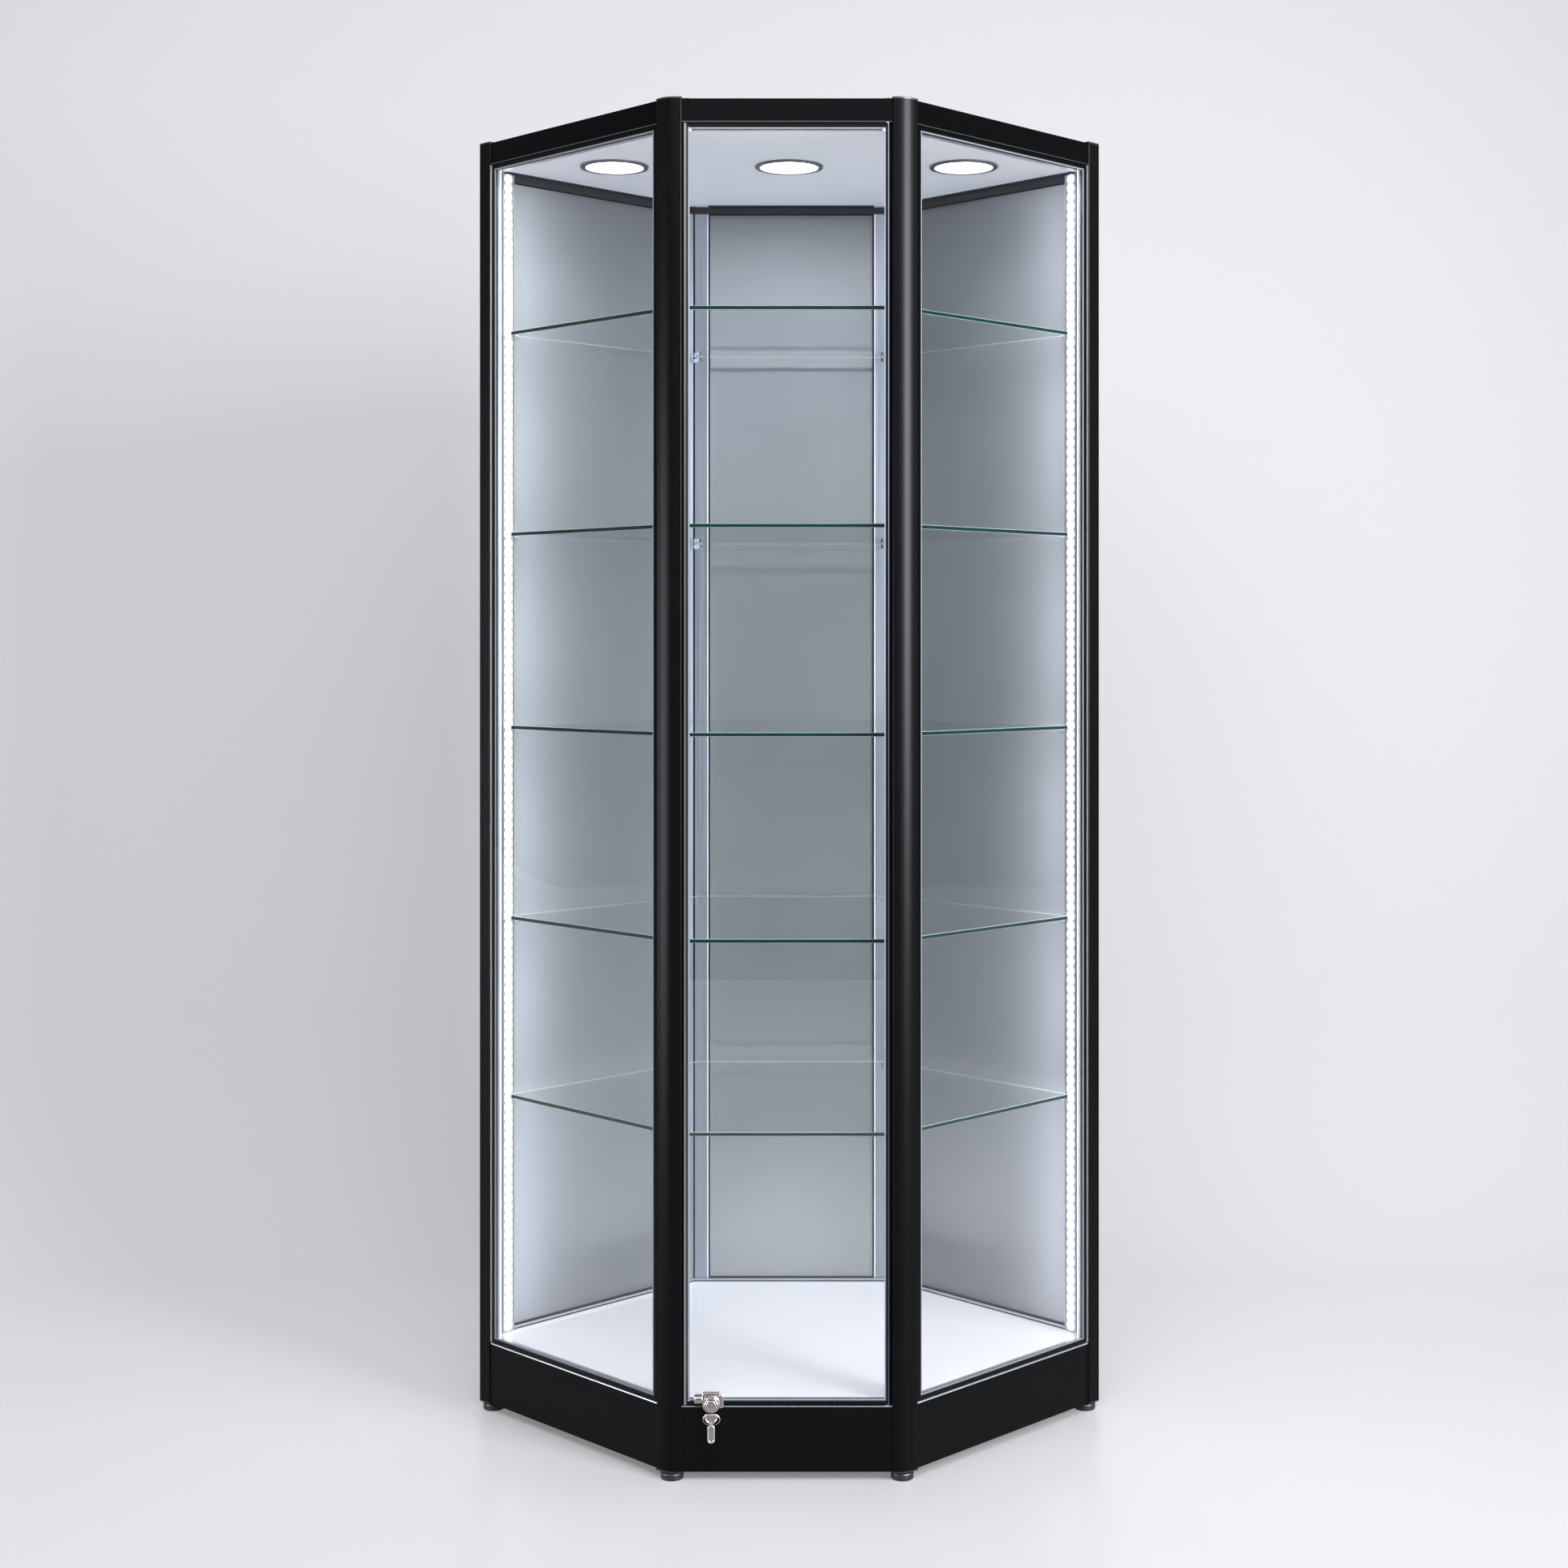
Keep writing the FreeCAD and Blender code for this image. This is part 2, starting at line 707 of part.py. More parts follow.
def make_leaf_frame(side, hinged=False):
    """Edge frame: glass seat behind, bead chamfered towards the glass in front."""
    blank = leaf_block(side, "0", "leaf_front", "leaf_thick")
    if hinged:
        edge_x = number("door_half") - NEAR
        low, high = number("leaf_bottom") + NEAR, number("leaf_top") - NEAR
        blank = round_edges(blank, "leaf_round", lambda p: p.x > edge_x and low < p.z < high)
    bead = leaf_block(side, "leaf_frame", "0", "post_depth")
    seat = leaf_block(side, "leaf_frame - glass_bite - glass_play", "glass_front - glass_play",
                      "glass_thick + 2 * glass_play")
    front = number("leaf_front")

    def on_bead(point):
        place = bead.Placement.inverse().multVec(point)
        along = -NEAR < place.x < bead.Length.Value + NEAR
        upright = -NEAR < place.z < bead.Height.Value + NEAR
        return along and upright and abs(place.y - front) < NEAR
    return cut(round_edges(cut(blank, bead), "leaf_bead", on_bead, "Part::Chamfer"), seat)


def make_leaf_glass(side):
    return leaf_block(side, "leaf_frame - glass_bite", "glass_front", "glass_thick")


def make_leaf_gasket(side):
    outer = leaf_block(side, "leaf_frame", "glass_front - gasket_thick", "gasket_thick")
    inner = leaf_block(side, "leaf_frame + gasket_width", "0", "post_depth")
    return cut(outer, inner)


def make_back_panel(side):
    start, end = side_ends(side, LEG)
    length = side_length(side)
    panel = box(f"{length} - {start} - {end} - 2 * back_panel_gap", "back_panel_thick",
                "leaf_top - leaf_bottom")
    return put_on_side(panel, side, f"0 - {length} / 2 + {start} + back_panel_gap",
                       "rebate - back_panel_seat - back_panel_thick", "leaf_bottom")


# ---------------------------------------------------------------------------------------
# Hexagonal panels and shelves
# ---------------------------------------------------------------------------------------
def hexagon_points(inset):
    """Plan hexagon a constant inset inside the outer faces."""
    side_x = f"(corner_x - ({inset}) * sqrt(2))"
    face_y = f"(depth_half - ({inset}))"
    face_x = f"({side_x} - {face_y})"
    return [(side_x, "0"), (face_x, face_y), (f"0 - {face_x}", face_y),
            (f"0 - {side_x}", "0"), (f"0 - {face_x}", f"0 - {face_y}"),
            (face_x, f"0 - {face_y}")]


def hexagon_panel(inset, thickness, bottom):
    body = extrusion("XY_Plane", thickness, hexagon_points(inset))
    return put(body, z=bottom)


def make_shelf(level):
    """Glass hexagon, blunt at the clips and ground along every edge."""
    body = extrusion("XY_Plane", "shelf_thick", hexagon_points("shelf_inset"))
    thick = number("shelf_thick")
    soften(body, "shelf_blunt", lambda point: abs(point.z - thick / 2) < NEAR,
           "PartDesign::Chamfer")
    soften(body, "arris", lambda point: abs(point.z - thick / 2) > thick / 2 - NEAR,
           "PartDesign::Chamfer")
    return node(put(body, z=f"{level} - shelf_thick"), level)


def make_clip(corner, level):
    """Arm on a tongue in the post's slot, with a pad under the shelf corner."""
    kind = CORNERS[corner][3]
    angle = HALF_ANGLE[kind]
    top = f"{level} - shelf_thick - clip_seat"
    inner = f"post_depth / sin({angle})"
    tip = f"shelf_inset / sin({angle}) + clip_under"
    width = "slot_width - 2 * tongue_play"
    arm = box(f"{tip} - ({inner}) + slot_depth - tongue_play", width, "clip_height")
    turn, corner_x, corner_y, _ = CORNERS[corner]
    x = f"{corner_x} - ({tip}) * cos({turn}) + ({width}) / 2 * sin({turn})"
    y = f"{corner_y} - ({tip}) * sin({turn}) - ({width}) / 2 * cos({turn})"
    put(arm, x, y, f"{top} - clip_pad_thick / 2 - clip_height", turn)
    pad = cylinder("clip_pad", "clip_pad_thick")
    put_on_corner(pad, corner, f"{tip} - clip_pad", f"{top} - clip_pad_thick")
    return fuse(arm, pad)


# ---------------------------------------------------------------------------------------
# Lights
# ---------------------------------------------------------------------------------------
def strip_bar(side, start, width, depth, thick, end):
    """Upright bar on a back diagonal, measured from the side post's corner."""
    bar = box(width, thick, f"room_top - deck_top - 2 * ({end})")
    if SIDES[side][3] == "start":
        along = f"0 - diagonal / 2 + {start}"
    else:
        along = f"diagonal / 2 - ({start}) - ({width})"
    return put_on_side(bar, side, along, depth, f"deck_top + {end}")


def make_strip(side):
    front = "post_depth + strip_seat"
    outer = strip_bar(side, "strip_start", "strip_width", front, "strip_height", "strip_end")
    hollow = strip_bar(side, "strip_start + strip_wall", "strip_width - 2 * strip_wall",
                       f"{front} + strip_wall", "strip_height", "0 - strip_end")
    tape = strip_bar(side, "strip_start + strip_wall + panel_gap",
                     "strip_width - 2 * strip_wall - 2 * panel_gap",
                     f"{front} + strip_wall + panel_gap", "tape_thick", "strip_end")
    return cut(outer, hollow), tape


def make_trims(bottom, height):
    """Flat beads along the three back sides, mitred where they meet."""
    outer, inner = hexagon_points("trim_inset"), hexagon_points("trim_inset + trim_thick")
    front = put(box("2 * corner_x", "depth_half + trim_end", "2 * total_height"),
                "0 - corner_x", "0 - depth_half")
    bars = []
    for i in range(3):
        loop = [outer[i], outer[i + 1], inner[i + 1], inner[i]]
        bar = put(extrusion("XY_Plane", height, loop), z=bottom)
        bars.append(bar if i == 1 else cut(bar, front))
    return bars


def make_lamps():
    housings, bezels, lenses = [], [], []
    for step in (-1, 0, 1):
        x, y = f"{step} * lamp_pitch", "0 - lamp_front"
        body = put(cylinder("lamp_body", "lamp_body_height"), x, y, "ceiling_bottom")
        ring = put(cylinder("bezel_radius", "bezel_thick"), x, y,
                   "ceiling_bottom - panel_gap - bezel_thick")
        bore = put(cylinder("bezel_bore", "bezel_thick * 3"), x, y,
                   "ceiling_bottom - bezel_thick * 2")
        lens = put(cylinder("lens_radius", "lens_thick"), x, y,
                   "ceiling_bottom - panel_gap - lens_thick")
        rim = number("ceiling_bottom - panel_gap - bezel_thick") + NEAR
        edge = number("bezel_radius") - NEAR
        centre = Vector(number(x), number(y), 0)
        ring = round_edges(cut(ring, bore), "bezel_thick / 2", lambda p: p.z < rim
                           and math.hypot(p.x - centre.x, p.y - centre.y) > edge)
        housings.append(body)
        bezels.append(ring)
        lenses.append(lens)
    return housings, bezels, lenses


def make_ceiling():
    panel = hexagon_panel("panel_inset", "ceiling_thick", "ceiling_bottom")
    holes = [put(cylinder("lamp_hole", "ceiling_thick * 3"), f"{step} * lamp_pitch",
                 "0 - lamp_front", "ceiling_bottom - ceiling_thick") for step in (-1, 0, 1)]
    return cut(panel, *holes)


def make_driver():
    case = box("driver_length", "driver_width", "driver_height")
    return put(case, "0 - driver_length / 2", "driver_back", "ceiling_top + driver_gap")


# ---------------------------------------------------------------------------------------
# Door pivots, lock and key
# ---------------------------------------------------------------------------------------
def make_pivot(upper):
    pin = cylinder("pivot_radius", "pivot_root + pane_rise + pivot_nose")
    collar = cylinder("pivot_collar", "pane_rise - pivot_float")
    y = "0 - depth_half + leaf_middle"
    if upper:
        put(pin, "pivot_x", y, "leaf_top - pivot_nose")
        put(collar, "pivot_x", y, "leaf_top + pivot_float")
    else:
        put(pin, "pivot_x", y, "sill_top - pivot_root")
        put(collar, "pivot_x", y, "sill_top")
    return fuse(pin, collar)


def pivot_bores():
    """Tools that drill the pivot line through sill, door and head."""
    length = "pivot_root + pane_rise + pivot_nose + 2 * pivot_end"
    bores = []
    for bottom in ("sill_top - pivot_root - pivot_end", "leaf_top - pivot_nose - pivot_end"):
        bore = cylinder("pivot_radius + pivot_play", length)
        bores.append(put(bore, "pivot_x", "0 - depth_half + leaf_middle", bottom))
    return bores


def lock_box(width, thick, height, depth, bottom, shift="0"):
    """Box centred on the lock axis, its front face at a depth behind the post faces."""
    block = box(width, thick, height)
    return put(block, f"lock_x + ({shift}) - ({width}) / 2", f"0 - depth_half + ({depth})", bottom)


def make_lock_plate(bottom, back):
    """Front plate of the lock from a height up to its top edge."""
    return lock_box("lock_width", f"{back} + plate_front - plate_seat",
                    f"lock_top - ({bottom})", "0 - plate_front", bottom)


def make_ear():
    """Half-round ear on the lock's left."""
    ear = cylinder("ear_radius", "ear_reach")
    put(ear, "lock_x - lock_width / 2", "0 - depth_half - plate_front / 2",
        "lock_axis + ear_rise", -90, Vector(0, 1, 0))
    behind = lock_box("2 * ear_reach", "over", "4 * ear_radius", "plate_seat",
                      "lock_axis + ear_rise - 2 * ear_radius", "0 - lock_width / 2 - ear_reach")
    return cut(ear, behind)


def make_lug():
    """Hooked lug on the lock's right, its outer corners rounded."""
    lug = lock_box("lug_reach", "lug_thick", "lug_height", "0 - plate_front",
                   "lock_axis - lug_drop", "lock_width / 2 + lug_reach / 2")
    outer = number("lock_x + lock_width / 2 + lug_reach") - NEAR
    middle = number("lug_thick / 2 - depth_half - plate_front")
    return round_edges(lug, "lug_round",
                       lambda p: p.x > outer and abs(p.y - middle) < NEAR)


def make_lip():
    """Raised bar with round ends along the top of the lock's plate."""
    thick = "plate_front + lip_thick"
    lip = lock_box("lock_width", thick, "lip_height", "0 - plate_front - lip_thick",
                   "lock_top - lip_height")
    middle = number(f"0 - depth_half - ({thick}) / 2")
    return round_edges(lip, "lip_end", lambda p: abs(p.y - middle) < NEAR
                       and abs(p.z - number("lock_top - lip_height / 2")) > 1)


def make_lock_body():
    """Plate over the door's edge, collar, fixed nut, ear, lug, clamp stud and ring eye."""
    plate = make_lock_plate("leaf_bottom - pane_rise + lock_foot", "leaf_front")
    saddle = make_lock_plate("leaf_bottom + leaf_frame + gasket_width + panel_gap", "glass_front")
    collar = front_facing(cylinder("collar_radius", "collar_thick"),
                          "lock_x", "0 - plate_front - collar_thick", "lock_axis")
    nut = front_facing(hexagon("nut_across", "nut_thick"), "lock_x",
                       "0 - plate_front - collar_thick - nut_thick", "lock_axis")
    stud = front_facing(cylinder("stud_clamp", "glass_front + glass_thick + clamp_thick"),
                        "lock_x", "0", "stud_height")
    eye = make_eye("key_x", "eye_height - eye_half", "2 * eye_half + eye_drop")
    bore = front_facing(cylinder("plug_stem + plug_play", "over"), "lock_x",
                        "0 - 2 * lock_projection", "lock_axis")
    barrel = cut(fuse(plate, collar, nut), bore)
    bored_eye = cut(eye, eye_bore("eye_height"))
    return fuse(barrel, saddle, make_lip(), make_ear(), make_lug(), stud, bored_eye)


def make_eye(x, bottom, height):
    """Small plate across X that the ring's wire passes through."""
    plate = box("eye_thick", "2 * eye_half", height)
    return put(plate, f"{x} - eye_thick / 2", "0 - depth_half - ring_depth - eye_half", bottom)


def eye_bore(height):
    """Tool that drills an eye from side to side."""
    bore = cylinder("eye_bore", "over")
    return put(bore, "key_x - over / 2", "0 - depth_half - ring_depth", height, 90,
               Vector(0, 1, 0))


def make_lock_clamp():
    plate = lock_box("lock_width", "clamp_thick", "clamp_rise",
                     "glass_front + glass_thick + plate_seat",
                     "lock_top - clamp_drop - clamp_rise")
    hole = front_facing(cylinder("stud_clamp + plug_play", "over"), "lock_x", "0", "stud_height")
    return cut(plate, hole)


def make_plug():
    """Hexagonal head with a stem in the collar and a spindle through the door."""
    front = "0 - lock_projection"
    head_thick = "lock_projection - plate_front - collar_thick - nut_thick - plug_gap"
    head = front_facing(hexagon("plug_across", head_thick), "lock_x", front, "lock_axis")
    stem = front_facing(cylinder("plug_stem", "lock_projection + leaf_front - plug_gap"),
                        "lock_x", front, "lock_axis")
    reach = "lock_projection + leaf_front + leaf_thick + cam_gap"
    spindle = front_facing(cylinder("spindle", reach), "lock_x", front, "lock_axis")
    return fuse(head, stem, spindle)


def make_cam():
    return lock_box("cam_length", "cam_thick", "cam_width",
                    "leaf_front + leaf_thick + cam_gap + panel_gap",
                    "lock_axis - cam_width / 2", "cam_length / 2 - cam_width / 2")


def oval(wide, tall, thick, x, depth, z):
    item = doc.addObject("Part::Feature", "Oval")
    big, small = number(wide), number(tall)
    ellipse = Part.Ellipse(Vector(0, 0, 0), max(big, small), min(big, small))
    face = Part.Face(Part.Wire([ellipse.toShape()]))
    item.Shape = face.extrude(Vector(0, 0, number(thick)))
    return front_facing(item, x, depth, z)


def bow_plate(margin, thick):
    """Oval with a flat top, less a margin all round."""
    front = "0 - key_front - key_thick"
    plate = oval(f"bow_wide - {margin}", f"bow_tall - {margin}", thick, "lock_x", front,
                 "bow_height")
    above = lock_box("2 * bow_wide", "over", "bow_tall", f"{front} - over / 2",
                     f"bow_height + bow_flat - {margin}")
    return cut(plate, above)


def make_key():
    """Bow and blade with raised rims on a short neck, and an eye behind for the ring."""
    front = "0 - key_front - key_thick"
    neck = lock_box("neck_width", "key_thick - key_recess", "2 * blade_drop + bow_rim",
                    f"{front} + key_recess", "blade_top - blade_drop")
    blade_end = "blade_top - blade_length"
    blade = lock_box("blade_width", "key_thick", "blade_length", front, blade_end)
    groove = lock_box("blade_width - 2 * blade_rim", "key_recess",
                      "blade_length - 2 * blade_rim", front, f"{blade_end} + blade_rim")
    doc.recompute()
    middle, half = number("lock_x"), number("blade_width") / 2
    depth = number(f"{front} + key_thick / 2 - depth_half")
    blade = round_edges(blade, "blade_round", lambda p: abs(p.y - depth) < NEAR
                        and abs(abs(p.x - middle) - half) < NEAR)
    inner = half - number("blade_rim")
    depth = number(f"{front} + key_recess / 2 - depth_half")
    groove = round_edges(groove, "blade_round - blade_rim", lambda p: abs(p.y - depth) < NEAR
                         and abs(abs(p.x - middle) - inner) < NEAR)
    ring_bottom = "eye_height - 2 * ring_tall"
    tab = box("eye_thick", "key_front + eye_half - ring_depth", "2 * eye_half")
    put(tab, "key_x - eye_thick / 2", "0 - depth_half - key_front",
        f"{ring_bottom} - eye_half")
    body = fuse(bow_plate("0", "key_thick"), neck, blade, tab)
    return cut(body, bow_plate("bow_rim", "key_recess"), groove, eye_bore(ring_bottom))


def make_key_ring():
    """Oval wire ring in an upright plane, its top in the lock's eye."""
    ring = doc.addObject("Part::Feature", "Ring")
    wide, tall, wire = number("ring_wide"), number("ring_tall"), number("wire")
    path = Part.Wire([Part.Ellipse(Vector(0, 0, 0), wide, tall).toShape()])
    section = Part.Wire([Part.Circle(Vector(wide, 0, 0), Vector(0, 1, 0), wire).toShape()])
    ring.Shape = path.makePipeShell([section], True, True)
    return front_facing(ring, "key_x", "0 - ring_depth", "eye_height - ring_tall")


# ---------------------------------------------------------------------------------------
# Cable gland
# ---------------------------------------------------------------------------------------
def back_facing(item, outside):
    """Turn a Z-built solid to run outwards from the back kick panel."""
    y = f"depth_half + ({outside})"
    return put(item, "0 - gland_side", y, "gland_height", -90, Vector(1, 0, 0))


def make_gland():
    nut = back_facing(hexagon("gland_radius * sqrt(3)", "lock_projection + proud - gland_flange"),
                      "gland_flange - proud")
    flange = back_facing(cylinder("gland_radius", "gland_flange"), "0 - proud")
    neck = back_facing(cylinder("gland_neck", "gland_root"), "0 - proud - gland_root")
    bore = back_facing(cylinder("gland_bore", "2 * over"), "0 - over")
    return cut(fuse(nut, flange, neck), bore)


# ---------------------------------------------------------------------------------------
# Assembly
# ---------------------------------------------------------------------------------------
def build():
    fill_sheet()
    for corner in CORNERS:
        make_post(corner)
        make_foot(corner)
    node(group(*[make_cap(corner, "post_top") for corner in CORNERS]), "post_caps")
    node(group(*[make_foot_plate(corner) for corner in CORNERS]), "foot_plates")

    bores = pivot_bores()
    pocket = lock_box("2 * (cam_length + pocket_play)", "cam_thick + 2 * cam_gap + 2 * panel_gap",
                      "pocket_drop + over", "leaf_front + leaf_thick",
                      "lock_axis - pocket_drop")
    node(cut(make_sill("front"), pocket, bores[0]), "bottom_rail_front")
    node(cut(make_head("front"), bores[1]), "top_rail_front")
    node(make_kick("front"), "kick_panel_front")
    for side in ("left", "right"):
        node(make_sill(side), f"bottom_rail_{side}")
        node(make_head(side), f"top_rail_{side}")
        node(make_kick(side), f"kick_panel_{side}")
        node(make_leaf_frame(side), f"glass_frame_{side}")
        node(make_leaf_glass(side), f"glass_{side}")
    node(group(make_leaf_gasket("left"), make_leaf_gasket("right")), "glazing_gaskets")

    backs = ("back_left", "back", "back_right")
    sills = [make_sill(side) for side in backs]
    node(group(*sills, *make_trims("deck_top", "deck_trim")), "bottom_rails_back")
    heads = [make_head(side) for side in backs]
    beads = make_trims("room_top - ceiling_trim", "ceiling_trim")
    node(group(*heads, *beads), "top_rails_back")
    gland_hole = back_facing(cylinder("gland_neck + gland_play", "2 * over"), "0 - over")
    kicks = [make_kick("back_left"), cut(make_kick("back"), gland_hole), make_kick("back_right")]
    node(group(*kicks), "kick_panels_back")
    for side in backs:
        node(make_back_panel(side), side.replace("back", "back_panel"))
    node(make_gland(), "cable_gland")

    node(hexagon_panel("panel_inset", "deck_thick", "deck_bottom"), "deck_panel")
    node(hexagon_panel("panel_inset", "roof_thick", "roof_bottom"), "roof_panel")
    node(make_ceiling(), "ceiling_panel")
    for level in SHELVES:
        make_shelf(level)
    node(group(*[make_clip(corner, level) for level in SHELVES for corner in CORNERS]),
         "shelf_clips")

    strips = [make_strip(side) for side in ("back_left", "back_right")]
    node(group(*[channel for channel, _ in strips]), "led_channels")
    node(group(*[tape for _, tape in strips]), "led_tapes")
    housings, bezels, lenses = make_lamps()
    node(group(*housings), "downlight_housings")
    node(group(*bezels), "downlight_bezels")
    node(group(*lenses), "downlight_lenses")
    node(make_driver(), "led_driver")

    spindle_hole = front_facing(cylinder("spindle + spindle_play", "over"), "lock_x", "0",
                                "lock_axis")
    node(cut(make_leaf_frame("front", hinged=True), *bores, spindle_hole), "door_frame")
    stud_hole = front_facing(cylinder("stud_clamp + spindle_play", "over"), "lock_x", "0",
                             "stud_height")
    node(cut(make_leaf_glass("front"), stud_hole), "door_glass")
    node(make_leaf_gasket("front"), "door_gasket")
    node(group(make_pivot(False), make_pivot(True)), "hinge_pins")
    node(make_lock_body(), "lock_body")
    node(make_lock_clamp(), "lock_clamp")
    node(make_plug(), "lock_plug")
    node(make_cam(), "lock_cam")
    node(make_key_ring(), "key_ring")
    node(make_key(), "key")


def check_and_write():
    doc.recompute()
    for item in doc.Objects:
        if {"Invalid", "Error"} & set(item.State):
            raise RuntimeError(f"{item.Label} ({item.TypeId}) failed: {item.State}")
    for item in nodes:
        if item.Shape.isNull() or not item.Shape.isValid():
            raise RuntimeError(f"{item.Label} has no valid shape")
    os.makedirs("parts", exist_ok=True)
    for item in nodes:
        item.Shape.exportStep(os.path.join("parts", item.Label + ".step"))
        print(f"{item.Label}: {len(item.Shape.Solids)} solids, {item.Shape.Volume / 1000:.1f} cm3")
    print(len(nodes), "nodes")


build()
check_and_write()
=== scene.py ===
import math

import bpy
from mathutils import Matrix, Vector


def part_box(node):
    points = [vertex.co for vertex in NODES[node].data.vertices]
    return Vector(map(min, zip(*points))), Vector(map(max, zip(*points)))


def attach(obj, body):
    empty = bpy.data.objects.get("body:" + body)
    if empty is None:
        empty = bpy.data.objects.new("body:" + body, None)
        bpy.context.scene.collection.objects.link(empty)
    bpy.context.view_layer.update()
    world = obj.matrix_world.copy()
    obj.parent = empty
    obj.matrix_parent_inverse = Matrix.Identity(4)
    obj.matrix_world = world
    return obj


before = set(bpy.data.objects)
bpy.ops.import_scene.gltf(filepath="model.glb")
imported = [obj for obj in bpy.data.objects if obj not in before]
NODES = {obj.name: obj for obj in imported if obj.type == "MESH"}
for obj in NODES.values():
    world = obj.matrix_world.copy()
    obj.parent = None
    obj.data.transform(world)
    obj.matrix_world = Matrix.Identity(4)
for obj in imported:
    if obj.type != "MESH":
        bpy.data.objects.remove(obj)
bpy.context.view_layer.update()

MM = 0.001
FRONT_CORNER = 0.1725  # metres from the centre line to a front corner of the outer hexagon
HALF_DEPTH = 0.314
SIDE_CORNER = FRONT_CORNER + HALF_DEPTH
SLANT = math.sqrt(0.5)  # turns a difference in x and y into a distance from a 45 degree wall

# Sections of the extrusions, in millimetres
WIDE_FLANGE = 32.0  # inner flange from a 135 degree corner to its edge
SQUARE_FLANGE = 38.0  # the same from a 90 degree corner
COAT_DEPTH = 11.3  # from the outer face to where the black coat ends
LINE_DEPTH = 10.8  # from the outer face to where a bright line outside ends
DOOR_GAP = 1.5  # between the door and the rails

BLACK_FINISH = ("#08090a", "#0e0f11", 0.34)  # darkest tone, lightest tone, roughness
LAMP_COLOURS = {"studio": "#ffffff", "cabinet": "#fdfdff", "highlight": "#f1f0fc"}
CORNERS = ("front_left", "front_right", "side_left", "side_right", "back_left", "back_right")


# ---------------------------------------------------------------------------------------
# Node and colour helpers
# ---------------------------------------------------------------------------------------
def linear(code, alpha=1.0):
    """sRGB hex to linear RGBA."""
    def channel(i):
        c = int(code[i:i + 2], 16) / 255
        return c / 12.92 if c <= 0.04045 else ((c + 0.055) / 1.055) ** 2.4
    return (channel(1), channel(3), channel(5), alpha)


def add_node(tree, kind, inputs=None, **settings):
    """Add a node; inputs take a value or the socket that feeds them."""
    node = tree.nodes.new(kind)
    for name, value in settings.items():
        setattr(node, name, value)
    for socket, value in (inputs or {}).items():
        if isinstance(value, bpy.types.NodeSocket):
            tree.links.new(value, node.inputs[socket])
        else:
            node.inputs[socket].default_value = value
    return node


def new_material(name):
    material = bpy.data.materials.new(name)
    material.use_nodes = True
    material.node_tree.nodes.clear()
    return material, material.node_tree


def grain(tree, size_mm, stretch=(1, 1, 1), detail=2.0):
    """Noise whose features are about this many millimetres across, in object space."""
    place = add_node(tree, "ShaderNodeTexCoord").outputs["Object"]
    scaled = add_node(tree, "ShaderNodeMapping", {"Vector": place, "Scale": stretch})
    return add_node(tree, "ShaderNodeTexNoise", {"Vector": scaled.outputs["Vector"],
                                                 "Scale": 1 / (size_mm * MM), "Detail": detail})


def spread(tree, value, low, high):
    """Noise turned into a narrow band of values."""
    return add_node(tree, "ShaderNodeMapRange", {"Value": value, "From Min": 0.3, "From Max": 0.7,
                                                 "To Min": low, "To Max": high}).outputs["Result"]


def blend(tree, value, first, second):
    return add_node(tree, "ShaderNodeMix", {"Factor": value, "A": first, "B": second},
                    data_type="RGBA").outputs["Result"]


def tint(tree, value, dark, light):
    return blend(tree, value, linear(dark), linear(light))


def bump(tree, height, strength, distance_mm, normal=None):
    links = {"Height": height, "Strength": strength, "Distance": distance_mm * MM}
    if normal:
        links["Normal"] = normal
    return add_node(tree, "ShaderNodeBump", links).outputs["Normal"]


def surface(tree, shader):
    add_node(tree, "ShaderNodeOutputMaterial", {"Surface": shader})


# ---------------------------------------------------------------------------------------
# Powder coat and anodised metal
# ---------------------------------------------------------------------------------------
def coat_shader(tree, dark, light, roughness):
    """Powder coat: the fine pebble of fused powder breaks up every highlight."""
    pebble = grain(tree, 1.1)
    cloud = grain(tree, 60.0)
    return add_node(tree, "ShaderNodeBsdfPrincipled", {
        "Base Color": tint(tree, cloud.outputs["Fac"], dark, light),
        "Roughness": spread(tree, pebble.outputs["Fac"], roughness - 0.04, roughness + 0.05),
        "Normal": bump(tree, pebble.outputs["Fac"], 0.18, 0.06),
        "IOR": 1.5,
        "Specular IOR Level": 0.062,
    })


def anodised_shader(tree, dark, light, roughness):
    """Extruded and anodised aluminium: die lines run along the bar."""
    lines = grain(tree, 1.4, (1, 1, 0.004))
    return add_node(tree, "ShaderNodeBsdfPrincipled", {
        "Base Color": tint(tree, lines.outputs["Fac"], dark, light),
        "Metallic": 0.85,
        "Roughness": spread(tree, lines.outputs["Fac"], roughness - 0.05, roughness + 0.06),
        "Normal": bump(tree, lines.outputs["Fac"], 0.1, 0.03),
    })


def powder_coat():
    # Black polyester powder coat on aluminium: near-black, satin, very slight pebble
    material, tree = new_material("black_powder_coat")
    surface(tree, coat_shader(tree, *BLACK_FINISH).outputs["BSDF"])
    return material


# ---------------------------------------------------------------------------------------
# Masks: 1 inside a zone of an extrusion or board, 0 elsewhere; limits in millimetres
# ---------------------------------------------------------------------------------------
def math_of(tree, operation, first, second=0.0):
    return add_node(tree, "ShaderNodeMath", {0: first, 1: second}, operation=operation).outputs[0]


def both(tree, first, second):
    return math_of(tree, "MULTIPLY", first, second)


def either(tree, first, second):
    return math_of(tree, "MAXIMUM", first, second)


def past(tree, value, edge_mm):
    return math_of(tree, "GREATER_THAN", value, edge_mm * MM)


def short_of(tree, value, edge_mm):
    return math_of(tree, "LESS_THAN", value, edge_mm * MM)


def band(tree, value, low_mm, high_mm):
    return both(tree, past(tree, value, low_mm), short_of(tree, value, high_mm))


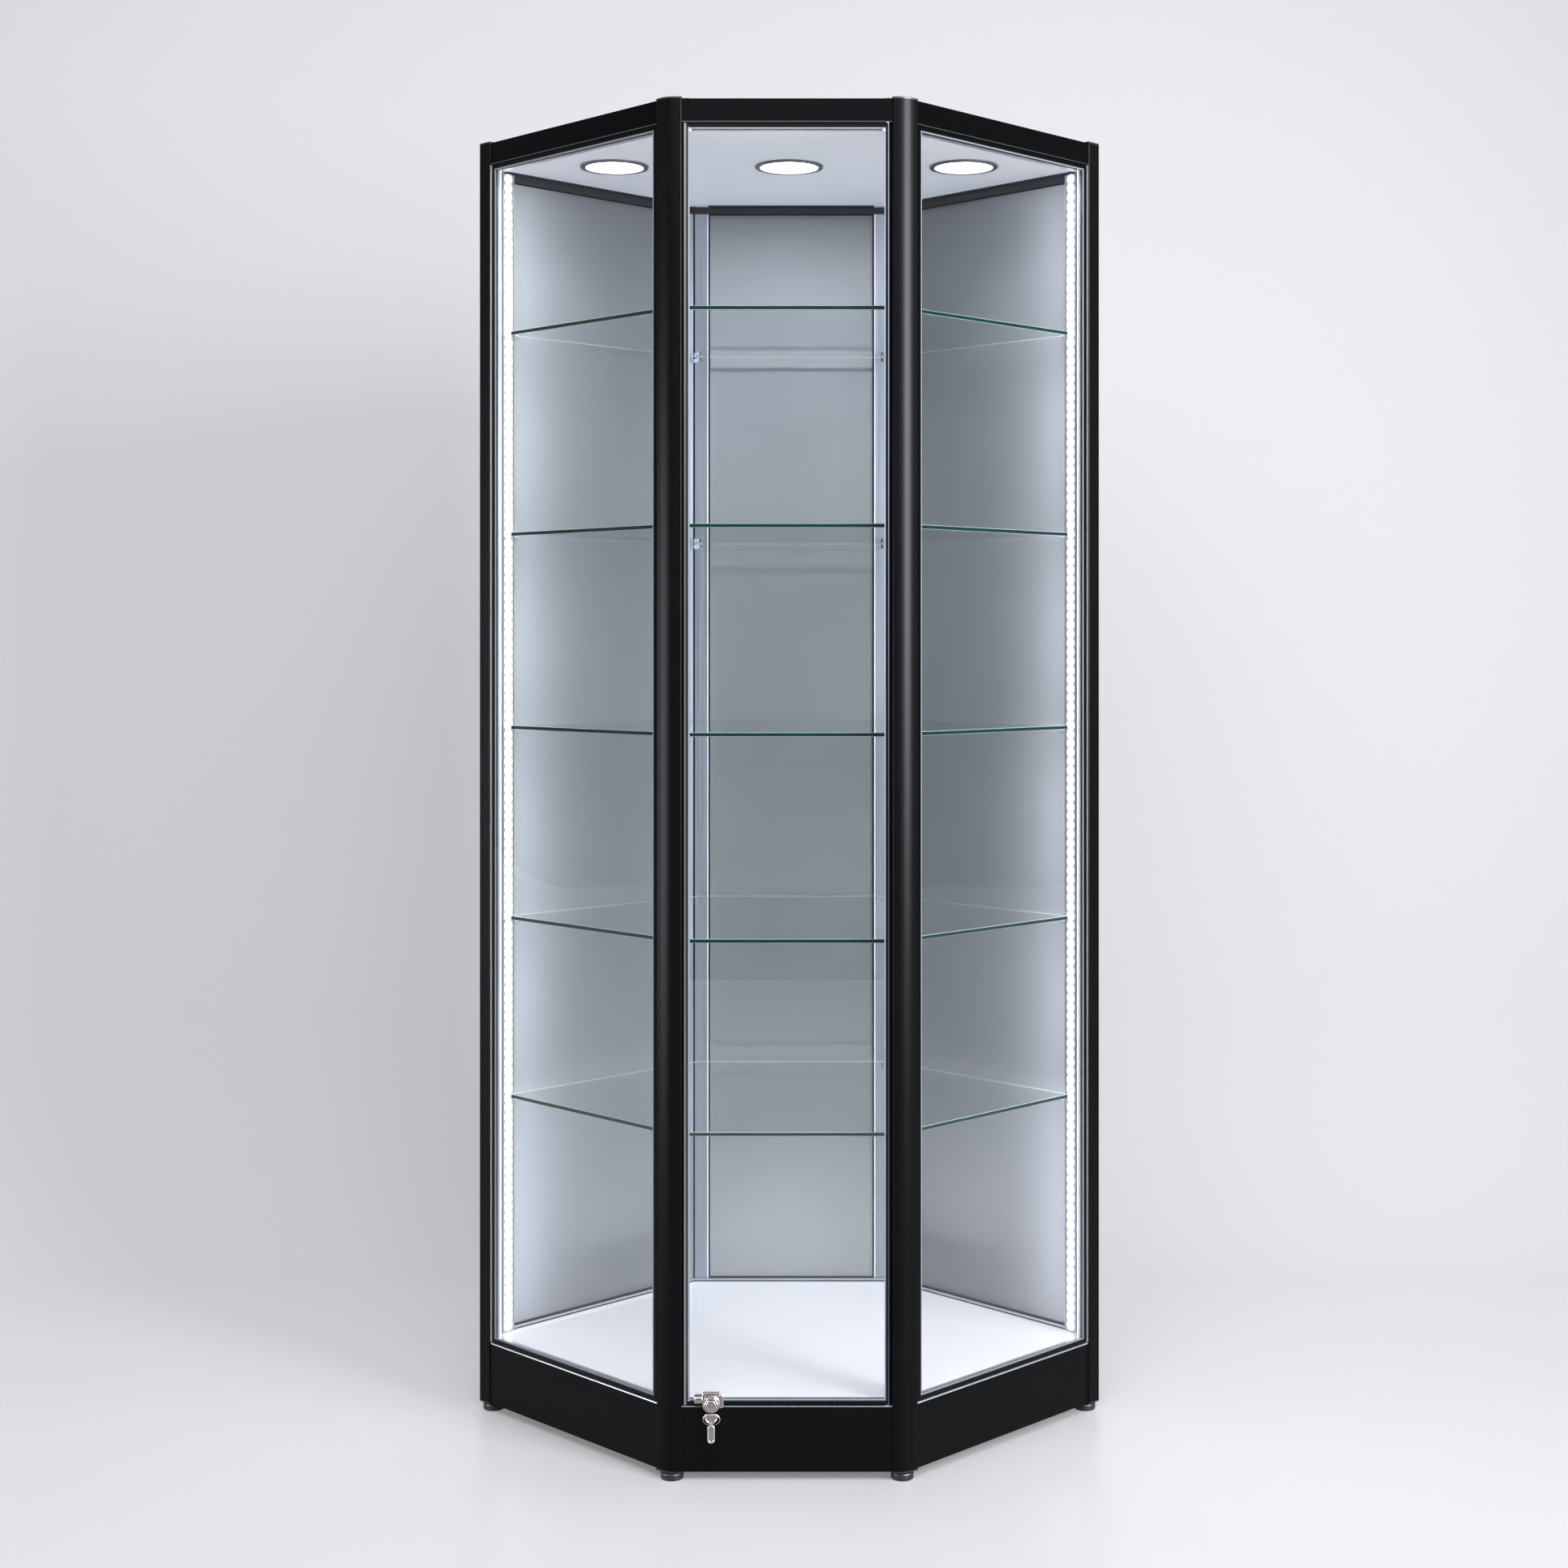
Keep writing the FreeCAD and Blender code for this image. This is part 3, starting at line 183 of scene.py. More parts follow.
def object_axes(tree):
    """X, Y and Z of a point in object space."""
    place = add_node(tree, "ShaderNodeTexCoord").outputs["Object"]
    return add_node(tree, "ShaderNodeSeparateXYZ", {"Vector": place}).outputs


def height_over(tree, level):
    """How far a point lies above a level, in metres."""
    return math_of(tree, "SUBTRACT", object_axes(tree)["Z"], level)


def upward(tree):
    """Upward part of the surface's normal."""
    normal = add_node(tree, "ShaderNodeNewGeometry").outputs["Normal"]
    return add_node(tree, "ShaderNodeSeparateXYZ", {"Vector": normal}).outputs["Z"]


def plan_place(tree):
    """Distances from the two planes of symmetry: the cabinet's four quarters match."""
    axes = object_axes(tree)
    return math_of(tree, "ABSOLUTE", axes["X"]), math_of(tree, "ABSOLUTE", axes["Y"])


def depth_behind(tree):
    """How far a point lies inside the outer hexagon."""
    x, y = plan_place(tree)
    flat = math_of(tree, "SUBTRACT", HALF_DEPTH, y)
    slant = math_of(tree, "SUBTRACT", SIDE_CORNER, math_of(tree, "ADD", x, y))
    return math_of(tree, "MINIMUM", flat, math_of(tree, "MULTIPLY", slant, SLANT))


def wall_run(tree):
    """Distance along a wall from the nearest wide corner, and from the square corner."""
    x, y = plan_place(tree)
    back = math_of(tree, "SUBTRACT", FRONT_CORNER, x)
    slant = math_of(tree, "SUBTRACT", math_of(tree, "SUBTRACT", x, FRONT_CORNER),
                    math_of(tree, "SUBTRACT", y, HALF_DEPTH))
    wide = math_of(tree, "MAXIMUM", back, math_of(tree, "MULTIPLY", slant, SLANT))
    square = math_of(tree, "ADD", math_of(tree, "SUBTRACT", SIDE_CORNER, x), y)
    return wide, math_of(tree, "MULTIPLY", square, SLANT)


def slot_line(tree):
    """Distance from the shelf slot, which lies on the bisector of a 135 degree corner."""
    x, y = plan_place(tree)
    lean = math.radians(22.5)
    across = math_of(tree, "MULTIPLY", math_of(tree, "SUBTRACT", x, FRONT_CORNER), math.cos(lean))
    along = math_of(tree, "MULTIPLY", math_of(tree, "SUBTRACT", y, HALF_DEPTH), math.sin(lean))
    return math_of(tree, "ABSOLUTE", math_of(tree, "SUBTRACT", across, along))


def layered(tree, mask, below, above):
    """The second shader where the mask is 1, the first elsewhere."""
    mixed = add_node(tree, "ShaderNodeMixShader", {"Fac": mask})
    tree.links.new(below.outputs[0], mixed.inputs[1])
    tree.links.new(above.outputs[0], mixed.inputs[2])
    return mixed


# ---------------------------------------------------------------------------------------
# Finishes of extrusions, castings, boards, plastics and glass
# ---------------------------------------------------------------------------------------
def two_tone_extrusion(tree, inner_dark, inner_light, slots=False):
    """Coated black as far as the rebate, uncoated anodised metal on the room side."""
    slot_half_width = 1.6
    outside = coat_shader(tree, *BLACK_FINISH)
    inside = anodised_shader(tree, inner_dark, inner_light, 0.36)
    mask = past(tree, depth_behind(tree), COAT_DEPTH)
    # With slots, a strip along each shelf slot keeps the black coat: painted shade in the groove
    if slots:
        mask = both(tree, mask, past(tree, slot_line(tree), slot_half_width))
    return layered(tree, mask, outside, inside)


def post_extrusion():
    # Post coated black outside, silver anodised inside, with painted shade in the shelf slot, a
    # painted highlight line along each flange edge and, beside the fixed panes, a painted
    # highlight along the cut end of its leg
    edge_width, overrun = 2.2, 1.0  # the strip on a flange's face, and round its edge
    square_depth = 15.0  # from the outer face to the flange of a 90 degree post
    leg_start, leg_end = 27.3, 29.0  # along the wall from the 90 degree corner
    leg_coat = 1.5  # the coat reaches this far round the leg's end
    pane_overrun = 0.5
    material, tree = new_material("two_tone_post_extrusion")
    body = two_tone_extrusion(tree, "#8d949e", "#a2a9b3", slots=True)
    # Painted highlight: near-white metal laid along the flange edges and the leg's cut end
    painted_highlight_metal = add_node(tree, "ShaderNodeBsdfPrincipled", {
        "Base Color": linear("#fbfcff"), "Metallic": 0.2, "Roughness": 0.3})
    wide, square = wall_run(tree)
    depth = depth_behind(tree)
    lines = []
    for run, flange, start in ((wide, WIDE_FLANGE, COAT_DEPTH),
                               (square, SQUARE_FLANGE, square_depth)):
        strip = band(tree, run, flange - edge_width, flange + overrun)
        lines.append(both(tree, strip, past(tree, depth, start)))
    leg = both(tree, band(tree, square, leg_start, leg_end),
               band(tree, depth, leg_coat, LINE_DEPTH))
    low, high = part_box("door_frame")
    beside_pane = band(tree, height_over(tree, low.z), -pane_overrun,
                       (high.z - low.z) / MM + pane_overrun)
    lines.append(both(tree, leg, beside_pane))
    bright = either(tree, lines[0], either(tree, lines[1], lines[2]))
    surface(tree, layered(tree, bright, body, painted_highlight_metal).outputs[0])
    return material


def bottom_rail_extrusion(name, dark, light, line_mm):
    # Bottom rail coated black; its upper edge and its upward faces carry a thin painted highlight
    # line
    material, tree = new_material(name)
    bright = anodised_shader(tree, dark, light, 0.3)
    body = two_tone_extrusion(tree, "#4c5158", "#5b6068")
    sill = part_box("door_frame")[0].z - DOOR_GAP * MM
    # Painted highlight: the top of the outer face and every upward face take the bright shader
    line = both(tree, past(tree, height_over(tree, sill), -line_mm),
                short_of(tree, depth_behind(tree), LINE_DEPTH))
    line = either(tree, line, math_of(tree, "GREATER_THAN", upward(tree), 0.3))
    surface(tree, layered(tree, line, body, bright).outputs[0])
    return material


def skirting_extrusion():
    # Back rail beside the deck: pale anodised face, with painted shadow on its upward faces and
    # along the deck
    deck_shadow_height = 2.2
    material, tree = new_material("two_tone_back_rail_extrusion")
    face = two_tone_extrusion(tree, "#a1a8b1", "#b3bac3")
    # Painted shadow: near-black coat where the gaps above and below the rail fall into shade
    painted_shadow = coat_shader(tree, "#07080a", "#0b0d10", 0.45)
    over_deck = height_over(tree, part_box("deck_panel")[1].z)
    painted_shadow_mask = either(tree, math_of(tree, "GREATER_THAN", upward(tree), 0.3),
                    short_of(tree, over_deck, deck_shadow_height))
    surface(tree, layered(tree, painted_shadow_mask, face, painted_shadow).outputs[0])
    return material


def top_rail_extrusion():
    # Top rail coated black, with painted shade inside and a painted highlight line along its lower
    # outer edge; its ledge under the ceiling is painted white as a lit ledge in front and dark as
    # painted shade behind
    ledge_depth = 18.5  # from the outer face to where the ledge starts
    line_depth, line_height = 5.0, 1.1
    material, tree = new_material("two_tone_top_rail_extrusion")
    # Painted light: the ledge's underside in front is made white
    white = anodised_shader(tree, "#f0f2f5", "#f8f9fb", 0.4)
    painted_highlight_metal = anodised_shader(tree, "#7c7f83", "#8b8e92", 0.3)
    shade = coat_shader(tree, "#0b0c0e", "#111316", 0.45)
    # Slate inside: painted shade where the ceiling's light does not reach
    body = two_tone_extrusion(tree, "#2c3138", "#363b42")
    depth = depth_behind(tree)
    ledge = both(tree, math_of(tree, "LESS_THAN", upward(tree), -0.5),
                 past(tree, depth, ledge_depth))
    ledge_in_front = both(tree, ledge, short_of(tree, object_axes(tree)["Y"], 0.0))
    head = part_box("door_frame")[1].z + DOOR_GAP * MM
    line = both(tree, short_of(tree, depth, line_depth),
                short_of(tree, height_over(tree, head), line_height))
    body = layered(tree, ledge, layered(tree, line, body, painted_highlight_metal), shade)
    surface(tree, layered(tree, ledge_in_front, body, white).outputs[0])
    return material


def leaf_extrusion(name, bead_dark, bead_light, lock_side=False):
    # Slim edge frame: dark faces, a bead towards the glass, and a painted sheen along the lock
    # stile
    bead_depth = 2.55  # from the outer face to where the bead starts
    sheen_width, pale_sheen_width = 3.3, 8.0  # from the lock stile's outer edge
    material, tree = new_material(name)
    face = anodised_shader(tree, "#101214", "#181a1d", 0.34)
    bead = anodised_shader(tree, bead_dark, bead_light, 0.32)
    rebate = past(tree, depth_behind(tree), bead_depth)
    # Painted sheen: on the lock stile, the face and bead are made pale metal where the black
    # profile reflects light
    if lock_side:
        silver = anodised_shader(tree, "#8d9197", "#a2a6ac", 0.34)
        pale = anodised_shader(tree, "#c9cfd8", "#dde2e9", 0.3)
        across = math_of(tree, "SUBTRACT", object_axes(tree)["X"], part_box("door_frame")[0].x)
        face = layered(tree, short_of(tree, across, sheen_width), face, silver)
        bead = layered(tree, short_of(tree, across, pale_sheen_width), bead, pale)
    surface(tree, layered(tree, rebate, face, bead).outputs[0])
    return material


def silver_anodised():
    # Silver anodised aluminium channel: soft bright metal with fine die lines
    material, tree = new_material("silver_anodised_aluminium")
    surface(tree, anodised_shader(tree, "#b9bec6", "#cdd2d9", 0.34).outputs["BSDF"])
    return material


def plated(name, dark, light, roughness):
    # Plated metal: mirror-like with faint polishing marks
    material, tree = new_material(name)
    marks = grain(tree, 0.5, detail=4.0)
    surface(tree, add_node(tree, "ShaderNodeBsdfPrincipled", {
        "Base Color": tint(tree, grain(tree, 9.0).outputs["Fac"], dark, light),
        "Metallic": 1.0,
        "Roughness": spread(tree, marks.outputs["Fac"], roughness - 0.04, roughness + 0.07),
        "Normal": bump(tree, marks.outputs["Fac"], 0.06, 0.02),
    }).outputs["BSDF"])
    return material


def casting_with_painted_light(name, dark, light, roughness):
    # Plated die casting: satin grey flats, a painted highlight along the edges and painted shade
    # in the seams
    material, tree = new_material(name)
    marks = grain(tree, 0.5, detail=4.0)
    rounded = add_node(tree, "ShaderNodeBevel", {"Radius": 1.3 * MM}, samples=8)
    normal = add_node(tree, "ShaderNodeNewGeometry").outputs["Normal"]
    likeness = add_node(tree, "ShaderNodeVectorMath", {0: rounded.outputs["Normal"], 1: normal},
                        operation="DOT_PRODUCT").outputs["Value"]
    edge = add_node(tree, "ShaderNodeMapRange", {"Value": likeness, "From Min": 0.99,
                                                 "From Max": 0.9}).outputs["Result"]
    # Painted shade: crevices found by ambient occlusion are darkened
    open_sky = add_node(tree, "ShaderNodeAmbientOcclusion", {"Distance": 2.6 * MM}, samples=8)
    painted_seam_shade = add_node(tree, "ShaderNodeMapRange", {"Value": open_sky.outputs["AO"],
                                                 "From Min": 0.82, "From Max": 0.5})
    flat = tint(tree, grain(tree, 4.0).outputs["Fac"], dark, light)
    # Painted highlight: edges found by the bevel normal are lightened
    bright = blend(tree, edge, flat, linear("#f7f4f0"))
    surface(tree, add_node(tree, "ShaderNodeBsdfPrincipled", {
        "Base Color": blend(tree, painted_seam_shade.outputs["Result"], bright, linear("#161514")),
        "Metallic": 1.0,
        "Roughness": spread(tree, marks.outputs["Fac"], roughness - 0.04, roughness + 0.07),
        "Normal": bump(tree, marks.outputs["Fac"], 0.06, 0.02, rounded.outputs["Normal"]),
    }).outputs["BSDF"])
    return material


def board_shader(tree, dark, light, roughness, coat=0.0):
    """Melamine facing: a smooth skin with a slight ripple in its gloss."""
    ripple = grain(tree, 14.0)
    cloud = grain(tree, 180.0)
    return add_node(tree, "ShaderNodeBsdfPrincipled", {
        "Base Color": tint(tree, cloud.outputs["Fac"], dark, light),
        "Roughness": spread(tree, ripple.outputs["Fac"], roughness - 0.03, roughness + 0.03),
        "Normal": bump(tree, ripple.outputs["Fac"], 0.04, 0.05),
        "Coat Weight": coat,
        "Coat Roughness": 0.08,
    })


def board(name, dark, light, roughness, coat=0.0):
    # Melamine-faced board: even and smooth, so light grades softly across it
    material, tree = new_material(name)
    surface(tree, board_shader(tree, dark, light, roughness, coat).outputs["BSDF"])
    return material


def wall_board(name, dark, light, roughness):
    # Grey board in its frame: a dark seal line runs round its edge, painted black as the shadow at
    # the step to the frame
    post_shadow_width, rail_shadow_width = 2.7, 1.0
    material, tree = new_material(name)
    # Painted shadow round the board's edge
    painted_shadow = add_node(tree, "ShaderNodeBsdfPrincipled", {
        "Base Color": linear("#050607"), "Roughness": 0.5, "Specular IOR Level": 0.1})
    wide, square = wall_run(tree)
    over_rail = height_over(tree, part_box("bottom_rails_back")[1].z)
    edge = past(tree, height_over(tree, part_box("top_rails_back")[0].z), -rail_shadow_width)
    for value, limit in ((wide, WIDE_FLANGE + post_shadow_width), (square, SQUARE_FLANGE + post_shadow_width),
                         (over_rail, rail_shadow_width)):
        edge = either(tree, edge, short_of(tree, value, limit))
    surface(tree, layered(tree, edge, board_shader(tree, dark, light, roughness),
                          painted_shadow).outputs[0])
    return material


def moulded(name, dark, light, roughness):
    # Injection moulded plastic: even colour with a fine spark-eroded skin
    material, tree = new_material(name)
    skin = grain(tree, 0.8)
    surface(tree, add_node(tree, "ShaderNodeBsdfPrincipled", {
        "Base Color": tint(tree, grain(tree, 30.0).outputs["Fac"], dark, light),
        "Roughness": spread(tree, skin.outputs["Fac"], roughness - 0.05, roughness + 0.05),
        "Normal": bump(tree, skin.outputs["Fac"], 0.12, 0.04),
        "IOR": 1.48,
    }).outputs["BSDF"])
    return material


def let_lamps_through(tree, glass, tone):
    """Light passes a pane as it does real glass, so what stands behind it is lit."""
    clear = add_node(tree, "ShaderNodeBsdfTransparent", {"Color": linear(tone)})
    path = add_node(tree, "ShaderNodeLightPath")
    return layered(tree, path.outputs["Is Shadow Ray"], glass, clear)


def pane_glass():
    # Toughened float glass: clear, with the faintest cool tint
    material, tree = new_material("toughened_float_glass")
    glass = add_node(tree, "ShaderNodeBsdfPrincipled", {
        "Base Color": linear("#ffffff"), "Roughness": 0.0, "IOR": 1.52,
        "Transmission Weight": 1.0})
    wave = grain(tree, 220.0, detail=0.0)
    tree.links.new(bump(tree, wave.outputs["Fac"], 0.03, 0.2), glass.inputs["Normal"])
    surface(tree, let_lamps_through(tree, glass, "#eff1f1").outputs[0])
    return material


def shelf_glass():
    # Float glass shelf: clear across its faces, deep green where the eye looks into its edge
    material, tree = new_material("green_edged_float_glass")
    face = add_node(tree, "ShaderNodeBsdfPrincipled", {
        "Base Color": linear("#f9fdfc"), "Roughness": 0.0, "IOR": 1.52,
        "Transmission Weight": 1.0})
    depth = grain(tree, 25.0)
    edge = add_node(tree, "ShaderNodeBsdfPrincipled", {
        "Base Color": tint(tree, depth.outputs["Fac"], "#032a26", "#073c36"),
        "Roughness": 0.12, "IOR": 1.52, "Specular IOR Level": 0.06})
    painted_arris_highlight = add_node(tree, "ShaderNodeBsdfPrincipled", {
        "Base Color": linear("#cdd8d8"), "Roughness": 0.3, "IOR": 1.52})
    level = math_of(tree, "ABSOLUTE", upward(tree))
    clear = let_lamps_through(tree, face, "#f1f5f5")
    # Chamfered arrises, and the edges in the rear half, carry a pale painted highlight instead of
    # green
    pale_highlight_mask = either(tree, math_of(tree, "GREATER_THAN", level, 0.5),
                    past(tree, object_axes(tree)["Y"], 1.0))
    sides = layered(tree, pale_highlight_mask, edge, painted_arris_highlight)
    surface(tree, layered(tree, math_of(tree, "GREATER_THAN", level, 0.9), sides,
                          clear).outputs[0])
    return material


def clear_plastic():
    # Injection moulded polycarbonate: water-clear, slightly soft in its gloss
    material, tree = new_material("clear_polycarbonate")
    resin = add_node(tree, "ShaderNodeBsdfPrincipled", {
        "Base Color": linear("#f2f5f6"), "IOR": 1.58, "Transmission Weight": 1.0,
        "Roughness": spread(tree, grain(tree, 1.5).outputs["Fac"], 0.06, 0.12)})
    surface(tree, let_lamps_through(tree, resin, "#eef2f2").outputs[0])
    return material


def lit(name, colour, strength):
    # Lamp surface that glows evenly
    material, tree = new_material(name)
    surface(tree, add_node(tree, "ShaderNodeBsdfPrincipled", {
        "Base Color": linear("#eef1f5"), "Roughness": 0.4,
        "Emission Color": linear(colour), "Emission Strength": strength}).outputs["BSDF"])
    return material


BLACK_COAT = powder_coat()
POST = post_extrusion()
RAIL = bottom_rail_extrusion("two_tone_front_rail_extrusion", "#8b8f95", "#9a9ea4", 0.4)
SIDE_RAIL = bottom_rail_extrusion("two_tone_side_rail_extrusion", "#c3c8ce", "#d4d8dd", 2.0)
SKIRTING = skirting_extrusion()
TOP_RAIL = top_rail_extrusion()
DOOR_FRAME = leaf_extrusion("black_door_extrusion_with_painted_sheen", "#4e5463", "#5b6171", True)
SIDE_FRAME = leaf_extrusion("slate_glazing_extrusion", "#525b66", "#606a75")
CHANNEL = silver_anodised()
BEZEL = plated("satin_nickel_plated_steel", "#777a7f", "#888b90", 0.3)
NICKEL = casting_with_painted_light("nickel_plated_zinc", "#75706c", "#b3ada8", 0.24)
PIN_STEEL = plated("zinc_plated_steel", "#a9adb0", "#bfc2c4", 0.28)
PANEL = wall_board("grey_melamine_board", "#6f737a", "#797d84", 0.45)
DECK = board("white_gloss_laminate", "#f2edf5", "#f7f3fa", 0.22, 0.5)
CEILING = board("white_satin_laminate", "#eae2ec", "#f0e9f1", 0.5)
GASKET = moulded("grey_silicone_rubber", "#b4b9bf", "#c2c7cc", 0.45)
BLACK_PLASTIC = moulded("black_moulded_nylon", "#0c0d0e", "#141517", 0.42)
WHITE_PLASTIC = moulded("white_moulded_abs", "#d9dadb", "#e4e5e6", 0.5)
PANE = pane_glass()
SHELF = shelf_glass()
CLIP = clear_plastic()
BUFFER = moulded("frosted_silicone_rubber", "#dfe3e8", "#eef1f4", 0.3)
TAPE = moulded("pale_silicone_lens_strip", "#cfccd0", "#dad7db", 0.35)
LENS = lit("lit_opal_acrylic_lens", "#fbfcff", 7.0)
DIODE = lit("lit_silicone_lens", "#ffffff", 0.75)

FINISHES = {
    BLACK_COAT: ["kick_panel_front", "kick_panel_left", "kick_panel_right", "kick_panels_back",
                 "roof_panel"],
    POST: [f"post_{corner}" for corner in CORNERS],
    RAIL: ["bottom_rail_front"],
    SIDE_RAIL: ["bottom_rail_left", "bottom_rail_right"],
    SKIRTING: ["bottom_rails_back"],
    TOP_RAIL: ["top_rail_front", "top_rail_left", "top_rail_right", "top_rails_back"],
    DOOR_FRAME: ["door_frame"],
    SIDE_FRAME: ["glass_frame_left", "glass_frame_right"],
    CHANNEL: ["led_channels"],
    BEZEL: ["downlight_bezels"],
    CLIP: ["shelf_clips"],
    NICKEL: ["lock_body", "lock_plug", "lock_clamp", "lock_cam", "key_ring", "key"],
    PIN_STEEL: ["hinge_pins"],
    PANEL: ["back_panel", "back_panel_left", "back_panel_right"],
    DECK: ["deck_panel"],
    CEILING: ["ceiling_panel"],
    GASKET: ["door_gasket", "glazing_gaskets"],
    BLACK_PLASTIC: ["post_caps", "foot_plates", "cable_gland"]
                   + [f"foot_{corner}" for corner in CORNERS],
    WHITE_PLASTIC: ["downlight_housings", "led_driver"],
    PANE: ["door_glass", "glass_left", "glass_right"],
    SHELF: [f"shelf_{level}" for level in range(1, 6)],
    TAPE: ["led_tapes"],
    LENS: ["downlight_lenses"],
}


def finish_nodes():
    """Each node of the frame takes one finish."""
    for material, names in FINISHES.items():
        for name in names:
            slots = NODES[name].data.materials
            slots.clear()
            slots.append(material)


# ---------------------------------------------------------------------------------------
# Modelling helpers
# ---------------------------------------------------------------------------------------
def deselect():
    bpy.ops.object.select_all(action="DESELECT")


def settle(piece, name, body, material):
    """Place into the mesh, name, dress and let it ride on its body."""
    deselect()
    piece.select_set(True)
    bpy.context.view_layer.objects.active = piece
    bpy.ops.object.transform_apply(location=True, rotation=True, scale=True)
    piece.name = name
    piece.data.name = name
    piece.data.materials.clear()
    piece.data.materials.append(material)
    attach(piece, body)


def deselect_all(kind):
    """Nothing of the active mesh stays selected, and picking is by vertex or by edge."""
    bpy.ops.object.mode_set(mode="EDIT")
    bpy.ops.mesh.select_mode(type=kind)
    bpy.ops.mesh.select_all(action="DESELECT")
    bpy.ops.object.mode_set(mode="OBJECT")


# ---------------------------------------------------------------------------------------
# Lenses of the light strips, buffers of the door
# ---------------------------------------------------------------------------------------
def make_dome(radius_mm, height_mm, segments, rings):
    """Low dome on the plane z = 0, open below where it is bonded."""
    deselect()
    bpy.ops.mesh.primitive_uv_sphere_add(segments=segments, ring_count=rings, radius=1)
    dome = bpy.context.object
    deselect_all("VERT")
    for vertex in dome.data.vertices:
        vertex.select = vertex.co.z < -0.01
    bpy.ops.object.mode_set(mode="EDIT")
    bpy.ops.mesh.delete(type="VERT")
    bpy.ops.object.mode_set(mode="OBJECT")
    bpy.ops.object.shade_smooth()
    dome.scale = (radius_mm * MM, radius_mm * MM, height_mm * MM)
    return dome


def make_lens_row(side):
    """Round lenses at the diodes' pitch; they run into each other as a scalloped strip."""
    low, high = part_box("led_tapes")
    sign = -1 if side == "left" else 1
    pitch = 14.3 * MM
    first_rise = 0.6 * pitch  # from the tape's lower end to the first diode
    along_wall, off_wall = 42.5 * MM, 23.2 * MM  # from the side corner to the tape's face
    outward = Vector((-sign, -1, 0)).normalized()
    along = Vector((-sign, 1, 0)).normalized()
    start = Vector((sign * SIDE_CORNER, 0, low.z + first_rise))
    lens = make_dome(radius_mm=8.2, height_mm=1.0, segments=12, rings=6)
    lens.location = start + along * along_wall + outward * off_wall
    lens.rotation_euler = outward.to_track_quat("Z", "Y").to_euler()
    bpy.ops.object.transform_apply(location=True, rotation=True, scale=True)
    rows = lens.modifiers.new("Rows", "ARRAY")
    rows.count = int((high.z - low.z) / pitch)
    rows.use_relative_offset = False
    rows.use_constant_offset = True
    rows.constant_offset_displace = (0, 0, pitch)
    bpy.ops.object.modifier_apply(modifier=rows.name)
    settle(lens, f"led_lenses_{side}", "cabinet", DIODE)


def make_buffer(name, sign):
    """Soft clear button at an upper corner of the door's glass."""
    inset, drop = 8.7 * MM, 10.4 * MM  # from the door's outer edges to the button's middle
    low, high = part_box("door_frame")
    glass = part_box("door_glass")[0]
    button = make_dome(radius_mm=2.8, height_mm=1.6, segments=20, rings=10)
    button.location = (sign * ((high.x - low.x) / 2 - inset), glass.y, high.z - drop)
    button.rotation_euler = (math.pi / 2, 0, 0)
    settle(button, name, "door", BUFFER)


# ---------------------------------------------------------------------------------------
# Stage, lamps and camera
# ---------------------------------------------------------------------------------------
def stage_material(name, code, roughness, lift):
    """Painted studio surface, brightened where it is looked at and open from behind."""
    material, tree = new_material(name)
    paint = add_node(tree, "ShaderNodeBsdfPrincipled",
                     {"Base Color": linear(code), "Roughness": roughness})
    path = add_node(tree, "ShaderNodeLightPath")
    seen = either(tree, path.outputs["Is Camera Ray"], path.outputs["Is Transmission Ray"])
    seen = either(tree, seen, path.outputs["Is Glossy Ray"])
    glow = add_node(tree, "ShaderNodeEmission", {
        "Color": linear(code), "Strength": math_of(tree, "MULTIPLY", seen, lift)})
    front = add_node(tree, "ShaderNodeAddShader")
    tree.links.new(paint.outputs["BSDF"], front.inputs[0])
    tree.links.new(glow.outputs["Emission"], front.inputs[1])
    from_behind = add_node(tree, "ShaderNodeNewGeometry").outputs["Backfacing"]
    open_back = add_node(tree, "ShaderNodeBsdfTransparent")
    surface(tree, layered(tree, from_behind, front, open_back).outputs[0])
    return material


def make_stage():
    """Pale floor that curves up into a pale wall."""
    width, length, wall_height, curve = 16, 6.2, 6, 0.45
    deselect()
    bpy.ops.mesh.primitive_plane_add(size=1, location=(0, -2.0, 0))
    cove = bpy.context.object
    cove.scale = (width, length, 1)
    bpy.ops.object.transform_apply(location=True, rotation=True, scale=True)
    deselect_all("EDGE")
    for edge in cove.data.edges:
        edge.select = all(cove.data.vertices[v].co.y > 1 for v in edge.vertices)
    bpy.ops.object.mode_set(mode="EDIT")
    bpy.ops.mesh.extrude_region_move(TRANSFORM_OT_translate={"value": (0, 0, wall_height)})
    bpy.ops.object.mode_set(mode="OBJECT")
    for edge in cove.data.edges:
        ends = [cove.data.vertices[v].co for v in edge.vertices]
        edge.select = all(end.y > 1 and end.z < 1 for end in ends)
    bpy.ops.object.mode_set(mode="EDIT")
    bpy.ops.mesh.bevel(offset=curve, segments=24)
    bpy.ops.object.mode_set(mode="OBJECT")
    bpy.ops.object.shade_smooth()
    cove.name = "studio_cove"
    cove.data.materials.append(stage_material("matt_painted_wall", "#e6e6e9", 0.9, 0.3))
    cove.data.materials.append(stage_material("satin_painted_floor", "#e6e6e9", 0.3, 0.26))
    for face in cove.data.polygons:
        face.material_index = int(face.center.z < MM)


